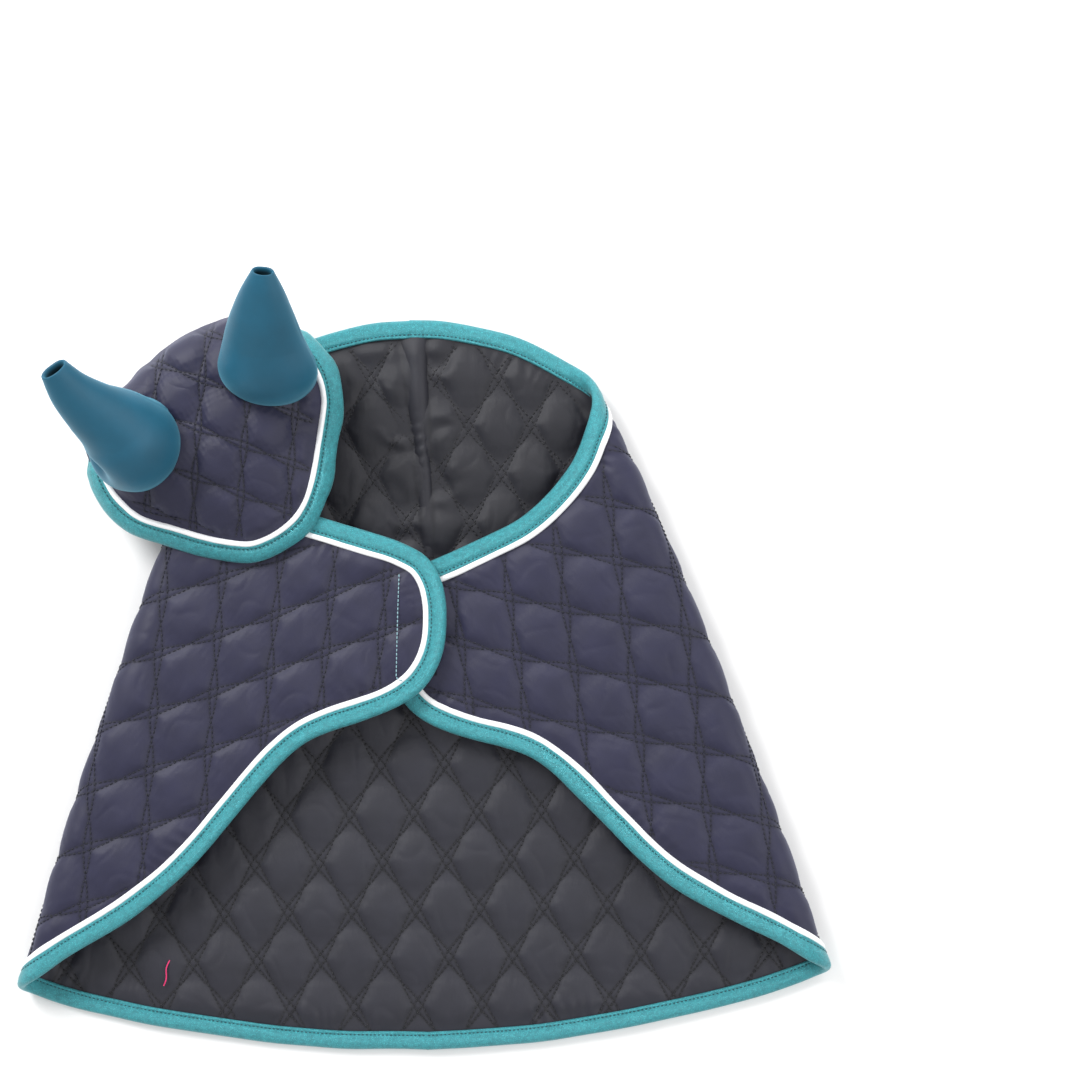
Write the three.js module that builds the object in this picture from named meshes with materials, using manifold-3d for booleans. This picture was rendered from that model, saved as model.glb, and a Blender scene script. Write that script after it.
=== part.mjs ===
// A hobby-horse turnout rug with its matching ear bonnet, laid out on a table with the chest closed.
// The rug is one piece of quilted cloth: a back panel, two side folds and two fronts that overlap at the
// chest under a touch-fastener tab. Cloth is a laminate of outer skin, wadding and lining; its free edges
// carry a white piping and a folded binding. The bonnet, a padded cap with two ear sleeves, lies on the
// left front. Units are millimetres, +Z is up, +Y runs along the spine towards the neck, and the origin
// is on the face that rests on the table, midway along the spine.
import * as THREE from "three";
import { mergeVertices } from "three/addons/utils/BufferGeometryUtils.js";
import Module from "manifold-3d";

const wasm = await Module();
wasm.setup();

// Rug
const SPINE = 466; // back neckline to back hem
const HEM_WIDTH = 514; // across the two rear corners
const NECK_WIDTH = 242; // across the two neck corners
const NECK_RISE = 41; // arc of the back neckline above its corners
const HEM_DROP = 50; // arc of the back hem below its corners
const SIDE_HEIGHT = 30; // table to the top of the side folds
const FRONT_SHIFT = 7; // how far the left front lies up, and the right one down, along the spine

// Chest tab, which both fronts end in
const CHEST_TOP = 81; // height of the neckline where it meets the spine line
const TAB_REACH = 20; // past the spine line
const TAB_TOP = 67;
const TAB_MIDDLE = 40;
const TAB_BOTTOM = 8;
const TAB_FOOT = -13; // height of the hem where it meets the spine line

// Cloth laminate, from the outer face in
const CLOTH = 6;
const SKIN = 0.5;
const PLY_GAP = 0.2;
const HINGE_GAP = 0.15; // each ply stops this short of a fold line

// Edge finish
const BINDING_WIDTH = 12;
const BINDING_WALL = 1.5;
const BINDING_TURN = 1; // wall round the cut edge
const PIPING_WIDTH = 4.5;
const PIPING_DEPTH = 1.6;
const SEAT_GAP = 0.3;

// Touch fastener, its stitching, the withers dart and the marking tack
const FASTENER_WIDTH = 20;
const FASTENER_LENGTH = 62;
const FASTENER_THICKNESS = 1.4;
const FASTENER_ROOM = 1.26; // left between and behind the two strips when the tab lies closed
const THREAD = 0.8;
const STITCH_RUN = 64;
const STITCH_RETURN = 5;
const DART_WIDTH = 16;
const DART_LENGTH = 150;
const DART_HEIGHT = 3;
const TACK_LENGTH = 17;
const TACK_PLACE = [-165, -179];

// Bonnet, in its own frame: +y towards the poll, +x towards the right ear
const BONNET_FRONT = 102; // ears to the forehead point
const BONNET_REAR = 48; // ears to the fold behind the poll
const BINDING_END = 14; // behind this the edge is tucked under and carries no trim
const BONNET_HALF = 86.5;
const BONNET_HEIGHT = 28;
const BONNET_PLACE = [-130, 178];
const BONNET_TURN = 31;
const BONNET_REST_GAP = 0.6;

// Ears
const EAR_SPACING = 98;
const EAR_LENGTH = 112;
const EAR_BASE = 30; // half width where it meets the crown
const EAR_TIP = 8;
const EAR_FLAT = 0.82; // depth over width
const EAR_WALL = 2;
const EAR_ROOT = 14; // length hidden below the crown before it is trimmed
const LEFT_EAR = { splay: 17, rise: 50 };
const RIGHT_EAR = { splay: 27, rise: 58 };

const EDGE_STEPS = 36;
const ARC_STEPS = 16;
const RIM_STEPS = 24;
const EAR_STEPS = 14;
const OFFSET_KEPT = 0.985; // a moved point nearer the line than this share of the way belongs to a loop
const FAR = 60; // how far cutting outlines run past a fold line

const navy = cloth("#2c2f4d", 0.55);
const charcoal = cloth("#26262c", 0.6);
const filling = cloth("#e8e8e4", 0.95);
const teal = cloth("#2fa3a8", 0.45);
const white = cloth("#f4f4f2", 0.6);
const petrol = cloth("#1c6780", 0.6);
const hook = cloth("#1b1d2b", 0.9);
const pink = cloth("#d2306b", 0.7);

const neckHalf = NECK_WIDTH / 2;
const hemHalf = HEM_WIDTH / 2;
const neckY = SPINE / 2 - NECK_RISE;
const hemY = HEM_DROP - SPINE / 2;
const foldLength = Math.hypot(hemHalf - neckHalf, neckY - hemY);

function cloth(color, roughness) {
  return new THREE.MeshStandardMaterial({ color, roughness, metalness: 0 });
}

// A closed geometry as a solid that can be cut and joined.
function solid(geometry) {
  const bare = geometry.clone();
  bare.deleteAttribute("normal");
  bare.deleteAttribute("uv");
  const merged = mergeVertices(bare, 1e-4);
  return new wasm.Manifold(
    new wasm.Mesh({
      numProp: 3,
      vertProperties: merged.attributes.position.array,
      triVerts: new Uint32Array(merged.index.array),
    }),
  );
}

function meshOf(name, body, material) {
  const made = body.getMesh();
  const geometry = new THREE.BufferGeometry();
  geometry.setAttribute("position", new THREE.BufferAttribute(made.vertProperties, 3));
  geometry.setIndex(new THREE.BufferAttribute(made.triVerts, 1));
  geometry.computeVertexNormals();
  const mesh = new THREE.Mesh(geometry, material);
  mesh.name = name;
  return mesh;
}

// An outline raised into a plate between two heights.
function plate(outline, z0, z1) {
  const low = Math.min(z0, z1);
  const depth = Math.abs(z1 - z0);
  const geometry = new THREE.ExtrudeGeometry(new THREE.Shape(outline), { depth, bevelEnabled: false });
  return solid(geometry.translate(0, 0, low));
}

// A line of points moved sideways to its left by a distance, without the loops a tight bend would leave.
function offset(line, distance) {
  const moved = line.map((point, i) => {
    const before = line[Math.max(i - 1, 0)];
    const after = line[Math.min(i + 1, line.length - 1)];
    const along = after.clone().sub(before).normalize();
    return new THREE.Vector2(point.x - along.y * distance, point.y + along.x * distance);
  });
  const reach = Math.abs(distance) * OFFSET_KEPT;
  return moved.filter((point) => distanceToLine(point, line) >= reach);
}

function distanceToLine(point, line) {
  const closest = new THREE.Vector3();
  const at = new THREE.Vector3(point.x, point.y, 0);
  const gaps = line.slice(1).map((end, i) => {
    const start = line[i];
    const piece = new THREE.Line3(new THREE.Vector3(start.x, start.y, 0), new THREE.Vector3(end.x, end.y, 0));
    return piece.closestPointToPoint(at, true, closest).distanceTo(at);
  });
  return Math.min(...gaps);
}

// A circular arc through two mirrored corners and the middle point between them, run on past the corners.
function mirroredArc(halfWidth, cornerY, middleY) {
  const rise = middleY - cornerY;
  const radius = (halfWidth ** 2 + rise ** 2) / (2 * Math.abs(rise));
  const centreY = middleY - Math.sign(rise) * radius;
  const reach = Math.min(halfWidth + FAR / 3, radius * 0.98);
  const sweep = Math.asin(reach / radius);
  const line = [];
  for (let i = 0; i <= ARC_STEPS; i++) {
    const angle = sweep * (1 - (2 * i) / ARC_STEPS);
    const y = centreY + Math.sign(rise) * radius * Math.cos(angle);
    line.push(new THREE.Vector2(radius * Math.sin(angle), y));
  }
  return line; // from +x to -x
}

// The free edge of a front on the +x side, from the neck corner round the tab to the rear corner.
// Between its named points the edge is given as shares of the way across and down.
function frontEdge(shift) {
  const neckline = [[0.143, 0.396], [0.378, 0.712], [0.664, 0.856]];
  const hem = [[0.14, 0.1], [0.272, 0.159], [0.389, 0.312], [0.545, 0.565], [0.716, 0.776], [0.875, 0.906]];
  const between = (from, to, [across, down]) => [
    THREE.MathUtils.lerp(from[0], to[0], across),
    THREE.MathUtils.lerp(from[1], to[1], down),
  ];
  const neckCorner = [neckHalf, neckY];
  const chest = [2, CHEST_TOP];
  const foot = [0, TAB_FOOT];
  const rearCorner = [hemHalf, hemY];
  const points = [
    neckCorner,
    ...neckline.map((share) => between(neckCorner, chest, share)),
    chest,
    [-0.7 * TAB_REACH, TAB_TOP],
    [-TAB_REACH, TAB_MIDDLE],
    [-0.75 * TAB_REACH, TAB_BOTTOM],
    foot,
    ...hem.map((share) => between(foot, rearCorner, share)),
    rearCorner,
  ].map(([x, y]) => new THREE.Vector2(x, y + shift * (1 - Math.min(1, Math.abs(x) / hemHalf) ** 4)));
  const line = new THREE.SplineCurve(points).getSpacedPoints(EDGE_STEPS);
  const runOn = (end, inner) => end.clone().add(end.clone().sub(inner).setLength(FAR / 2));
  return [runOn(line[0], line[1]), ...line, runOn(line.at(-1), line.at(-2))];
}

const mirrored = (line) => line.map((point) => new THREE.Vector2(-point.x, point.y)).reverse();

// Right fold line: its direction towards the hem, and the way in from it.
const foldAlong = new THREE.Vector2(hemHalf - neckHalf, hemY - neckY).normalize();
const foldInward = new THREE.Vector2(foldAlong.y, -foldAlong.x);
const foldPoint = (along, inward) =>
  new THREE.Vector2(neckHalf, neckY).addScaledVector(foldAlong, along).addScaledVector(foldInward, inward);

const onFold = CLOTH + HINGE_GAP;
const backClip = [
  foldPoint(-FAR, onFold),
  foldPoint(foldLength + FAR, onFold),
  foldPoint(foldLength + FAR, onFold).multiply(new THREE.Vector2(-1, 1)),
  foldPoint(-FAR, onFold).multiply(new THREE.Vector2(-1, 1)),
].reverse();
const frontClip = [
  foldPoint(-FAR, onFold),
  foldPoint(foldLength + FAR, onFold),
  foldPoint(foldLength + FAR, hemHalf + FAR),
  foldPoint(-FAR, hemHalf + FAR),
].reverse();

// A stretch of laminated cloth. region(d) is its outline drawn in from the free edges by d, clip stops
// it at the fold lines, outerZ is the height of its outer face and inward is +1 or -1 along z from there.
function laminate(label, { region, clip, outerZ, inward, splitEdges }) {
  const z = (depth) => outerZ + inward * depth;
  const within = plate(clip, z(-2), z(CLOTH + 2));
  const whole = (inset, from, to) => plate(region(inset), z(from), z(to));
  const cut = (inset, from, to) => whole(inset, from, to).intersect(within);
  const inPiping = BINDING_WIDTH + PIPING_WIDTH;
  const under = SKIN + PLY_GAP;
  const pocket = BINDING_WALL + SEAT_GAP;

  const outer = cut(inPiping + SEAT_GAP, 0, SKIN);
  const lining = cut(BINDING_WIDTH + SEAT_GAP, CLOTH - SKIN, CLOTH);
  const wadding = cut(inPiping + SEAT_GAP, under, CLOTH - under)
    .add(cut(BINDING_WIDTH + SEAT_GAP, PIPING_DEPTH + PLY_GAP, CLOTH - under))
    .add(cut(BINDING_TURN + SEAT_GAP, pocket, CLOTH - pocket));
  const piping = cut(BINDING_WIDTH + PLY_GAP, 0, PIPING_DEPTH).subtract(whole(inPiping, -1, PIPING_DEPTH + 1));
  const binding = cut(0, 0, CLOTH)
    .subtract(whole(BINDING_WIDTH, -1, CLOTH + 1))
    .subtract(whole(BINDING_TURN, BINDING_WALL, CLOTH - BINDING_WALL));

  const group = new THREE.Group();
  group.add(meshOf(label + "_outer", outer, navy));
  group.add(meshOf(label + "_wadding", wadding, filling));
  group.add(meshOf(label + "_lining", lining, charcoal));
  for (const [trim, body, material] of [["binding", binding, teal], ["piping", piping, white]]) {
    if (!splitEdges) {
      group.add(meshOf(label + "_" + trim, body, material));
      continue;
    }
    const ends = body.decompose().sort(splitEdges);
    group.add(meshOf(label + "_neck_" + trim, ends[0], material));
    group.add(meshOf(label + "_hem_" + trim, ends[1], material));
  }
  return group;
}

const middleOf = (body, axis) => {
  const box = body.boundingBox();
  return (box.min[axis] + box.max[axis]) / 2;
};

function backPanel() {
  const neck = mirroredArc(neckHalf, neckY, SPINE / 2);
  const hem = mirroredArc(hemHalf, hemY, -SPINE / 2).reverse();
  const region = (inset) => [...offset(neck, inset), ...offset(hem, inset)];
  const splitEdges = (a, b) => middleOf(b, 1) - middleOf(a, 1);
  const group = laminate("back", { region, clip: backClip, outerZ: 0, inward: 1, splitEdges });
  group.add(withersDart(), markingTack());
  return group;
}

// The tuck that shapes the neck, standing on the lining.
function withersDart() {
  const top = SPINE / 2 - BINDING_WIDTH - 1;
  const outline = [
    new THREE.Vector2(-DART_WIDTH / 2, top),
    new THREE.Vector2(-THREAD, top - DART_LENGTH),
    new THREE.Vector2(THREAD, top - DART_LENGTH),
    new THREE.Vector2(DART_WIDTH / 2, top),
  ];
  const base = CLOTH + PLY_GAP;
  return meshOf("withers_dart", plate(outline, base, base + DART_HEIGHT), charcoal);
}

// A short coloured thread left in the lining near the hem.
function markingTack() {
  const [x, y] = TACK_PLACE;
  const lean = TACK_LENGTH * 0.12;
  const outline = [
    new THREE.Vector2(x - THREAD / 2 - lean, y - TACK_LENGTH / 2),
    new THREE.Vector2(x + THREAD / 2 - lean, y - TACK_LENGTH / 2),
    new THREE.Vector2(x + THREAD / 2 + lean, y + TACK_LENGTH / 2),
    new THREE.Vector2(x - THREAD / 2 + lean, y + TACK_LENGTH / 2),
  ];
  const base = CLOTH + PLY_GAP;
  return meshOf("marking_tack", plate(outline, base, base + THREAD), pink);
}

// Side folds stand between the two fold lines. Their own frame has x along the fold and y up.
function sideFold(label, hand) {
  const low = CLOTH + HINGE_GAP;
  const high = SIDE_HEIGHT - CLOTH - HINGE_GAP;
  const region = (inset) => [
    new THREE.Vector2(inset, low - 2),
    new THREE.Vector2(foldLength - inset, low - 2),
    new THREE.Vector2(foldLength - inset, high + 2),
    new THREE.Vector2(inset, high + 2),
  ];
  const clip = [
    new THREE.Vector2(-FAR, low),
    new THREE.Vector2(foldLength + FAR, low),
    new THREE.Vector2(foldLength + FAR, high),
    new THREE.Vector2(-FAR, high),
  ];
  const splitEdges = (a, b) => middleOf(a, 0) - middleOf(b, 0);
  const group = laminate(label, { region, clip, outerZ: 0, inward: hand, splitEdges });
  const along = new THREE.Vector3(hand * foldAlong.x, foldAlong.y, 0);
  const up = new THREE.Vector3(0, 0, 1);
  group.setRotationFromMatrix(new THREE.Matrix4().makeBasis(along, up, along.clone().cross(up)));
  group.position.set(hand * neckHalf, neckY, 0);
  return group;
}

// A front hangs from the upper fold line, about which it is sloped so that the left lies over the right.
function frontPanel(label, hand) {
  const shift = -hand * FRONT_SHIFT;
  const right = frontEdge(shift).reverse();
  const edge = hand > 0 ? right : mirrored(right);
  const region = (inset) => offset(edge, -inset);
  const clip = hand > 0 ? frontClip : mirrored(frontClip);
  const group = laminate(label, { region, clip, outerZ: SIDE_HEIGHT, inward: -1 });
  group.add(...(hand > 0 ? loopStrip(shift) : hookStrip(shift)));

  const pivot = new THREE.Group();
  const axisPoint = foldPoint(0, CLOTH).multiply(new THREE.Vector2(hand, 1));
  const axis = new THREE.Vector3(hand * foldAlong.x, foldAlong.y, 0);
  pivot.position.set(axisPoint.x, axisPoint.y, SIDE_HEIGHT - CLOTH);
  group.position.copy(pivot.position).negate();
  // Left rises inward and right falls inward, which is the same sense about each fold's own direction.
  pivot.quaternion.setFromAxisAngle(axis, Math.atan(frontSlope));
  pivot.add(group);
  return pivot;
}

function strip(centreX, centreY, z0, z1) {
  const x = FASTENER_WIDTH / 2;
  const y = FASTENER_LENGTH / 2;
  const corners = [[-x, -y], [x, -y], [x, y], [-x, y]];
  return plate(corners.map(([dx, dy]) => new THREE.Vector2(centreX + dx, centreY + dy)), z0, z1);
}

const fastenerX = BINDING_WIDTH + PIPING_WIDTH + FASTENER_WIDTH / 2 - TAB_REACH;
const fastenerY = (TAB_TOP + TAB_BOTTOM) / 2;

// Rise of the left front, and fall of the right, per millimetre from its fold, so that the tab closes.
const tabReach = foldInward.dot(new THREE.Vector2(-neckHalf, fastenerY - neckY)) - CLOTH;
const frontSlope = (CLOTH + 2 * FASTENER_THICKNESS + FASTENER_ROOM) / (2 * tabReach);

// Under the left tab: the hook strip, and on its outer face the thread that holds it.
function hookStrip(shift) {
  const face = SIDE_HEIGHT - CLOTH - PLY_GAP;
  const hooks = strip(0, fastenerY + shift, face, face - FASTENER_THICKNESS);
  const x = -fastenerX - FASTENER_WIDTH / 2;
  const top = fastenerY + shift + STITCH_RUN / 2;
  const foot = top - STITCH_RUN;
  const outline = [
    new THREE.Vector2(x, foot),
    new THREE.Vector2(x + STITCH_RETURN, foot),
    new THREE.Vector2(x + STITCH_RETURN, foot + THREAD),
    new THREE.Vector2(x + THREAD, foot + THREAD),
    new THREE.Vector2(x + THREAD, top),
    new THREE.Vector2(x, top),
  ];
  const base = SIDE_HEIGHT + PLY_GAP;
  return [
    meshOf("hook_strip", hooks, hook),
    meshOf("tab_stitching", plate(outline, base, base + THREAD / 2), teal),
  ];
}

function loopStrip(shift) {
  const face = SIDE_HEIGHT + PLY_GAP;
  const loops = strip(0, fastenerY + shift, face, face + FASTENER_THICKNESS);
  return [meshOf("loop_strip", loops, hook)];
}

const rectangle = (half, low, high) => [
  new THREE.Vector2(-half, low),
  new THREE.Vector2(half, low),
  new THREE.Vector2(half, high),
  new THREE.Vector2(-half, high),
];

// The bonnet's rim outline, drawn in by a distance.
function rim(inset) {
  const front = [[0.25, -0.965], [0.49, -0.82], [0.73, -0.6], [0.93, -0.38], [1, -0.16]];
  const back = [[0.93, 0.3], [0.76, 0.66], [0.42, 0.93]];
  const right = front.map(([x, y]) => [x * BONNET_HALF, y * BONNET_FRONT]);
  const rear = back.map(([x, y]) => [x * BONNET_HALF, y * BONNET_REAR]);
  const half = [...right, ...rear];
  const points = [
    [0, -BONNET_FRONT],
    ...half,
    [0, BONNET_REAR],
    ...half.map(([x, y]) => [-x, y]).reverse(),
  ].map(([x, y]) => new THREE.Vector3(x, y, 0));
  const curve = new THREE.CatmullRomCurve3(points, true, "centripetal");
  return Array.from({ length: RIM_STEPS }, (_, i) => {
    const at = curve.getPointAt(i / RIM_STEPS);
    const along = curve.getTangentAt(i / RIM_STEPS);
    return new THREE.Vector2(at.x - along.y * inset, at.y + along.x * inset);
  });
}

// A filled dome over the rim, drawn in and lowered by a distance. It is steep behind and gentle in front.
function dome(inset) {
  const outline = rim(inset);
  const height = BONNET_HEIGHT - inset;
  const rings = [1, 0.88, 0.66, 0.36];
  const positions = [];
  for (const share of rings) {
    for (const point of outline) {
      const rearward = THREE.MathUtils.smoothstep(point.y, -0.5 * BONNET_FRONT, BONNET_REAR);
      const power = THREE.MathUtils.lerp(2, 5, rearward);
      positions.push(point.x * share, point.y * share, height * (1 - share ** power));
    }
  }
  const crown = positions.length / 3;
  positions.push(0, 0, height, 0, 0, 0);
  const faces = [];
  rings.forEach((_, r) => {
    for (let i = 0; i < RIM_STEPS; i++) {
      const here = r * RIM_STEPS + i;
      const next = r * RIM_STEPS + ((i + 1) % RIM_STEPS);
      if (r === rings.length - 1) faces.push(here, next, crown);
      else faces.push(here, next, next + RIM_STEPS, here, next + RIM_STEPS, here + RIM_STEPS);
      if (r === 0) faces.push(next, here, crown + 1);
    }
  });
  const geometry = new THREE.BufferGeometry();
  geometry.setAttribute("position", new THREE.Float32BufferAttribute(positions, 3));
  geometry.setIndex(faces);
  return solid(geometry);
}

// An ear sleeve about its own +z axis, from below the crown to its blunt tip.
function sleeve(grow) {
  const base = EAR_BASE + grow;
  const tip = EAR_TIP + grow;
  const end = EAR_LENGTH + grow;
  const profile = [
    [0, -EAR_ROOT],
    [base, -EAR_ROOT],
    [base, 0],
    [THREE.MathUtils.lerp(base, tip, 0.22), EAR_LENGTH * 0.22],
    [THREE.MathUtils.lerp(base, tip, 0.6), EAR_LENGTH * 0.55],
    [tip, EAR_LENGTH - EAR_TIP],
    [tip * 0.6, end - EAR_TIP * 0.25],
    [0, end],
  ].map(([r, y]) => new THREE.Vector2(r, y));
  const geometry = new THREE.LatheGeometry(profile, EAR_STEPS);
  geometry.rotateX(Math.PI / 2);
  geometry.scale(1, EAR_FLAT, 1);
  return solid(geometry);
}

// Places a solid made about the ear's axis where the ear stands on the bonnet.
function earPlace(hand, { splay, rise }) {
  const seatZ = BONNET_HEIGHT * 0.62;
  const place = new THREE.Object3D();
  place.position.set((hand * EAR_SPACING) / 2, 0, seatZ);
  place.rotation.order = "ZXY";
  place.rotation.z = THREE.MathUtils.degToRad(-hand * splay);
  place.rotation.x = THREE.MathUtils.degToRad(rise - 90);
  place.updateMatrix();
  return place.matrix;
}

function bonnet() {
  const group = new THREE.Group();
  const inPiping = BINDING_WIDTH + PIPING_WIDTH;
  const under = SKIN + PLY_GAP;
  const pocket = BINDING_WALL + SEAT_GAP;
  const column = (inset) => plate(rim(inset), -1, BONNET_HEIGHT + 1);
  const shell = (from, to) => dome(from).subtract(dome(to));
  const rear = plate(rectangle(2 * BONNET_HALF, BINDING_END + SEAT_GAP, FAR + BONNET_REAR), -1, BONNET_HEIGHT + 1);
  const trimmed = plate(rectangle(2 * BONNET_HALF, -2 * BONNET_FRONT, BINDING_END), -1, BONNET_HEIGHT + 1);
  const above = (z) => plate(rim(-1), z, BONNET_HEIGHT + 1);
  const ears = [["left_ear", -1, LEFT_EAR], ["right_ear", 1, RIGHT_EAR]];
  const bores = ears
    .map(([, hand, pose]) => sleeve(-EAR_WALL - 1).transform([...earPlace(hand, pose).elements]))
    .reduce((all, one) => all.add(one));

  const outer = shell(0, SKIN).intersect(column(inPiping + SEAT_GAP).add(rear)).subtract(bores);
  const lining = shell(CLOTH - SKIN, CLOTH).intersect(column(BINDING_WIDTH + SEAT_GAP).add(rear)).subtract(bores);
  const wadding = shell(under, CLOTH - under)
    .intersect(column(inPiping + SEAT_GAP).add(rear))
    .add(shell(PIPING_DEPTH + PLY_GAP, CLOTH - under).intersect(column(BINDING_WIDTH + SEAT_GAP)))
    .add(shell(pocket, CLOTH - pocket).intersect(above(BINDING_TURN + SEAT_GAP)))
    .subtract(bores);
  const piping = shell(0, PIPING_DEPTH)
    .intersect(column(BINDING_WIDTH + PLY_GAP))
    .intersect(trimmed)
    .subtract(column(inPiping));
  const binding = shell(0, CLOTH)
    .intersect(trimmed)
    .subtract(column(BINDING_WIDTH))
    .subtract(shell(BINDING_WALL, CLOTH - BINDING_WALL).intersect(above(BINDING_TURN)));

  group.add(meshOf("bonnet_outer", outer, navy));
  group.add(meshOf("bonnet_wadding", wadding, filling));
  group.add(meshOf("bonnet_lining", lining, charcoal));
  group.add(meshOf("bonnet_piping", piping, white));
  group.add(meshOf("bonnet_binding", binding, teal));

  const crown = dome(-SEAT_GAP).add(plate(rim(-EAR_BASE), -BONNET_HEIGHT, SEAT_GAP));
  for (const [name, hand, pose] of ears) {
    const matrix = [...earPlace(hand, pose).elements];
    const ear = sleeve(0).subtract(sleeve(-EAR_WALL));
    group.add(meshOf(name, ear.transform(matrix).subtract(crown), petrol));
  }

  group.rotation.z = THREE.MathUtils.degToRad(BONNET_TURN);
  group.position.set(...BONNET_PLACE, 0);
  // It lies on the left front's plane, a little clear of it.
  const pivot = new THREE.Group();
  const axisPoint = foldPoint(0, CLOTH).multiply(new THREE.Vector2(-1, 1));
  const axis = new THREE.Vector3(-foldAlong.x, foldAlong.y, 0);
  pivot.position.set(axisPoint.x, axisPoint.y, SIDE_HEIGHT + BONNET_REST_GAP);
  pivot.quaternion.setFromAxisAngle(axis, Math.atan(frontSlope));
  group.position.sub(new THREE.Vector3(axisPoint.x, axisPoint.y, 0));
  pivot.add(group);
  return pivot;
}

const rug = new THREE.Group();
rug.add(backPanel());
rug.add(sideFold("left_side", -1));
rug.add(sideFold("right_side", 1));
rug.add(frontPanel("left_front", -1));
rug.add(frontPanel("right_front", 1));
rug.add(bonnet());

export default rug;
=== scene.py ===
"""Builds the looks of a quilted hobby-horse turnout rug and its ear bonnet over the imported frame."""

import math

import bpy
import numpy as np
from mathutils import Matrix, Vector


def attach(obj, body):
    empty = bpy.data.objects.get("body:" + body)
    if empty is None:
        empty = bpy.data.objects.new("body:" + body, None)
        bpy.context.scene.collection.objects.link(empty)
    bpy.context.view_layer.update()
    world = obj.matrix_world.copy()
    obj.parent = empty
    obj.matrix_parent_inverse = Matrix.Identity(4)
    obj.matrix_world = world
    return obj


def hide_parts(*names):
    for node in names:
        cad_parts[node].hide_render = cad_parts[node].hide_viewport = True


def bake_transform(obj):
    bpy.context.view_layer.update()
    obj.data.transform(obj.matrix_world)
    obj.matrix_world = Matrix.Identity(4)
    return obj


bl_info = {
    "name": "Turnout rug",
    "version": (1, 0, 0),
    "blender": (4, 5, 0),
    "location": "3D View > Sidebar > Turnout rug",
    "description": "Quilted cloth, binding, piping, stitching and bonnet for a hobby-horse turnout rug",
    "category": "Add Mesh",
}

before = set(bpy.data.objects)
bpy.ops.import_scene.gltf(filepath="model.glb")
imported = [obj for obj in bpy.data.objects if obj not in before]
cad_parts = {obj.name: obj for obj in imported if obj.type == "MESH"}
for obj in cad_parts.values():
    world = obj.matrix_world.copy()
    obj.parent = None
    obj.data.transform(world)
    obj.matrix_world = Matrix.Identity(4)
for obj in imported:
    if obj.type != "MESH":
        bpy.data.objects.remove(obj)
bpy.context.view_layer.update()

# Rug, in millimetres. The right half is described and the left half mirrors it.
NECK_CORNER = np.array((121.0, 192.6))
REAR_CORNER = np.array((257.0, -179.0))
ALONG = (REAR_CORNER - NECK_CORNER) / np.linalg.norm(REAR_CORNER - NECK_CORNER)
INWARD = np.array((ALONG[1], -ALONG[0]))
FOLD_LENGTH = float(np.linalg.norm(REAR_CORNER - NECK_CORNER))
HALF_CLOTH = 3.0
ROLL = 12.0  # radius of the side folds, to the middle of the cloth
HEIGHT = 2 * (ROLL + HALF_CLOTH)
QUARTER = ROLL * math.pi / 2
SLACK = QUARTER - ROLL - HALF_CLOTH
FRONT_SLOPE = 0.0313
HINGE_INSET = 6.0
EDGE_PITCH = 2.6

# Sewing, in millimetres.
QUILT_PITCH = 3.1
QUILT_COVER = 0.7  # share of a quilting stitch's pitch that its thread covers
EDGE_STITCH = 2.6
EDGE_COVER = 0.62
STITCH_INSET = 2.2  # from the binding's inner edge to its row of stitches
QUILT_THREAD = 0.4  # radius
EDGE_THREAD = 0.38  # radius
PLY_REST = 0.7  # middle of the cloth to either face along a stitch line
SHOULDER = 6.0  # how far off a stitch line a pillow reaches its full height
GATHER_PITCH = 8.5

# Edge of the sheet. Points are (x, y) on the back, (t, u) across the fold, (x, y) on the folded front.
BACK_NECK = [(0, 233), (20, 232), (43, 228), (67, 221.5), (90.5, 211.5)]
NECK_FOLD = [(-12, -11.5), (0.5, 0), (15.5, 13.5)]
FRONT_EDGE = [
    (110, 157), (102, 141), (86, 122), (68.7, 109), (48, 100), (26, 91.5), (6, 84), (-8, 75.5), (-16, 63),
    (-19.7, 48), (-20, 34), (-18, 18), (-13, 4.5), (-5, -7), (5, -15), (18, -21.5), (34, -27), (53, -32.5),
    (69.5, -39.5), (84, -50), (99, -65), (117, -85), (135, -105), (154, -123), (175, -138.5), (198, -152.5),
    (222, -165.5),
]
HEM_FOLD = [(393.5, 13.5), (402, 0), (405, -14)]
BACK_HEM = [(222, -201.5), (196, -208.5), (140, -219.5), (72, -229.5), (0, -233)]

# Bonnet, placed on the left front.
BONNET_PLACE = np.array((-130.0, 176.5))
BONNET_TURN = math.radians(31)
BONNET_FRONT = 102.0
BONNET_REAR = 48.0
BONNET_HALF = 86.5
BONNET_HEIGHT = 28.0
BONNET_GAP = 0.8
BONNET_QUILT = np.array((-6.0, -10.0))  # where two quilting lines cross on the cap
CAP_TOP = -0.7  # outer cloth of the cap, from the dome
CAP_INSIDE = -5.0


def unit(vectors):
    return vectors / np.maximum(np.linalg.norm(vectors, axis=-1)[..., None], 1e-12)


def smoothstep(low, high, value):
    t = np.clip((value - low) / (high - low), 0, 1)
    return t * t * (3 - 2 * t)


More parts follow.
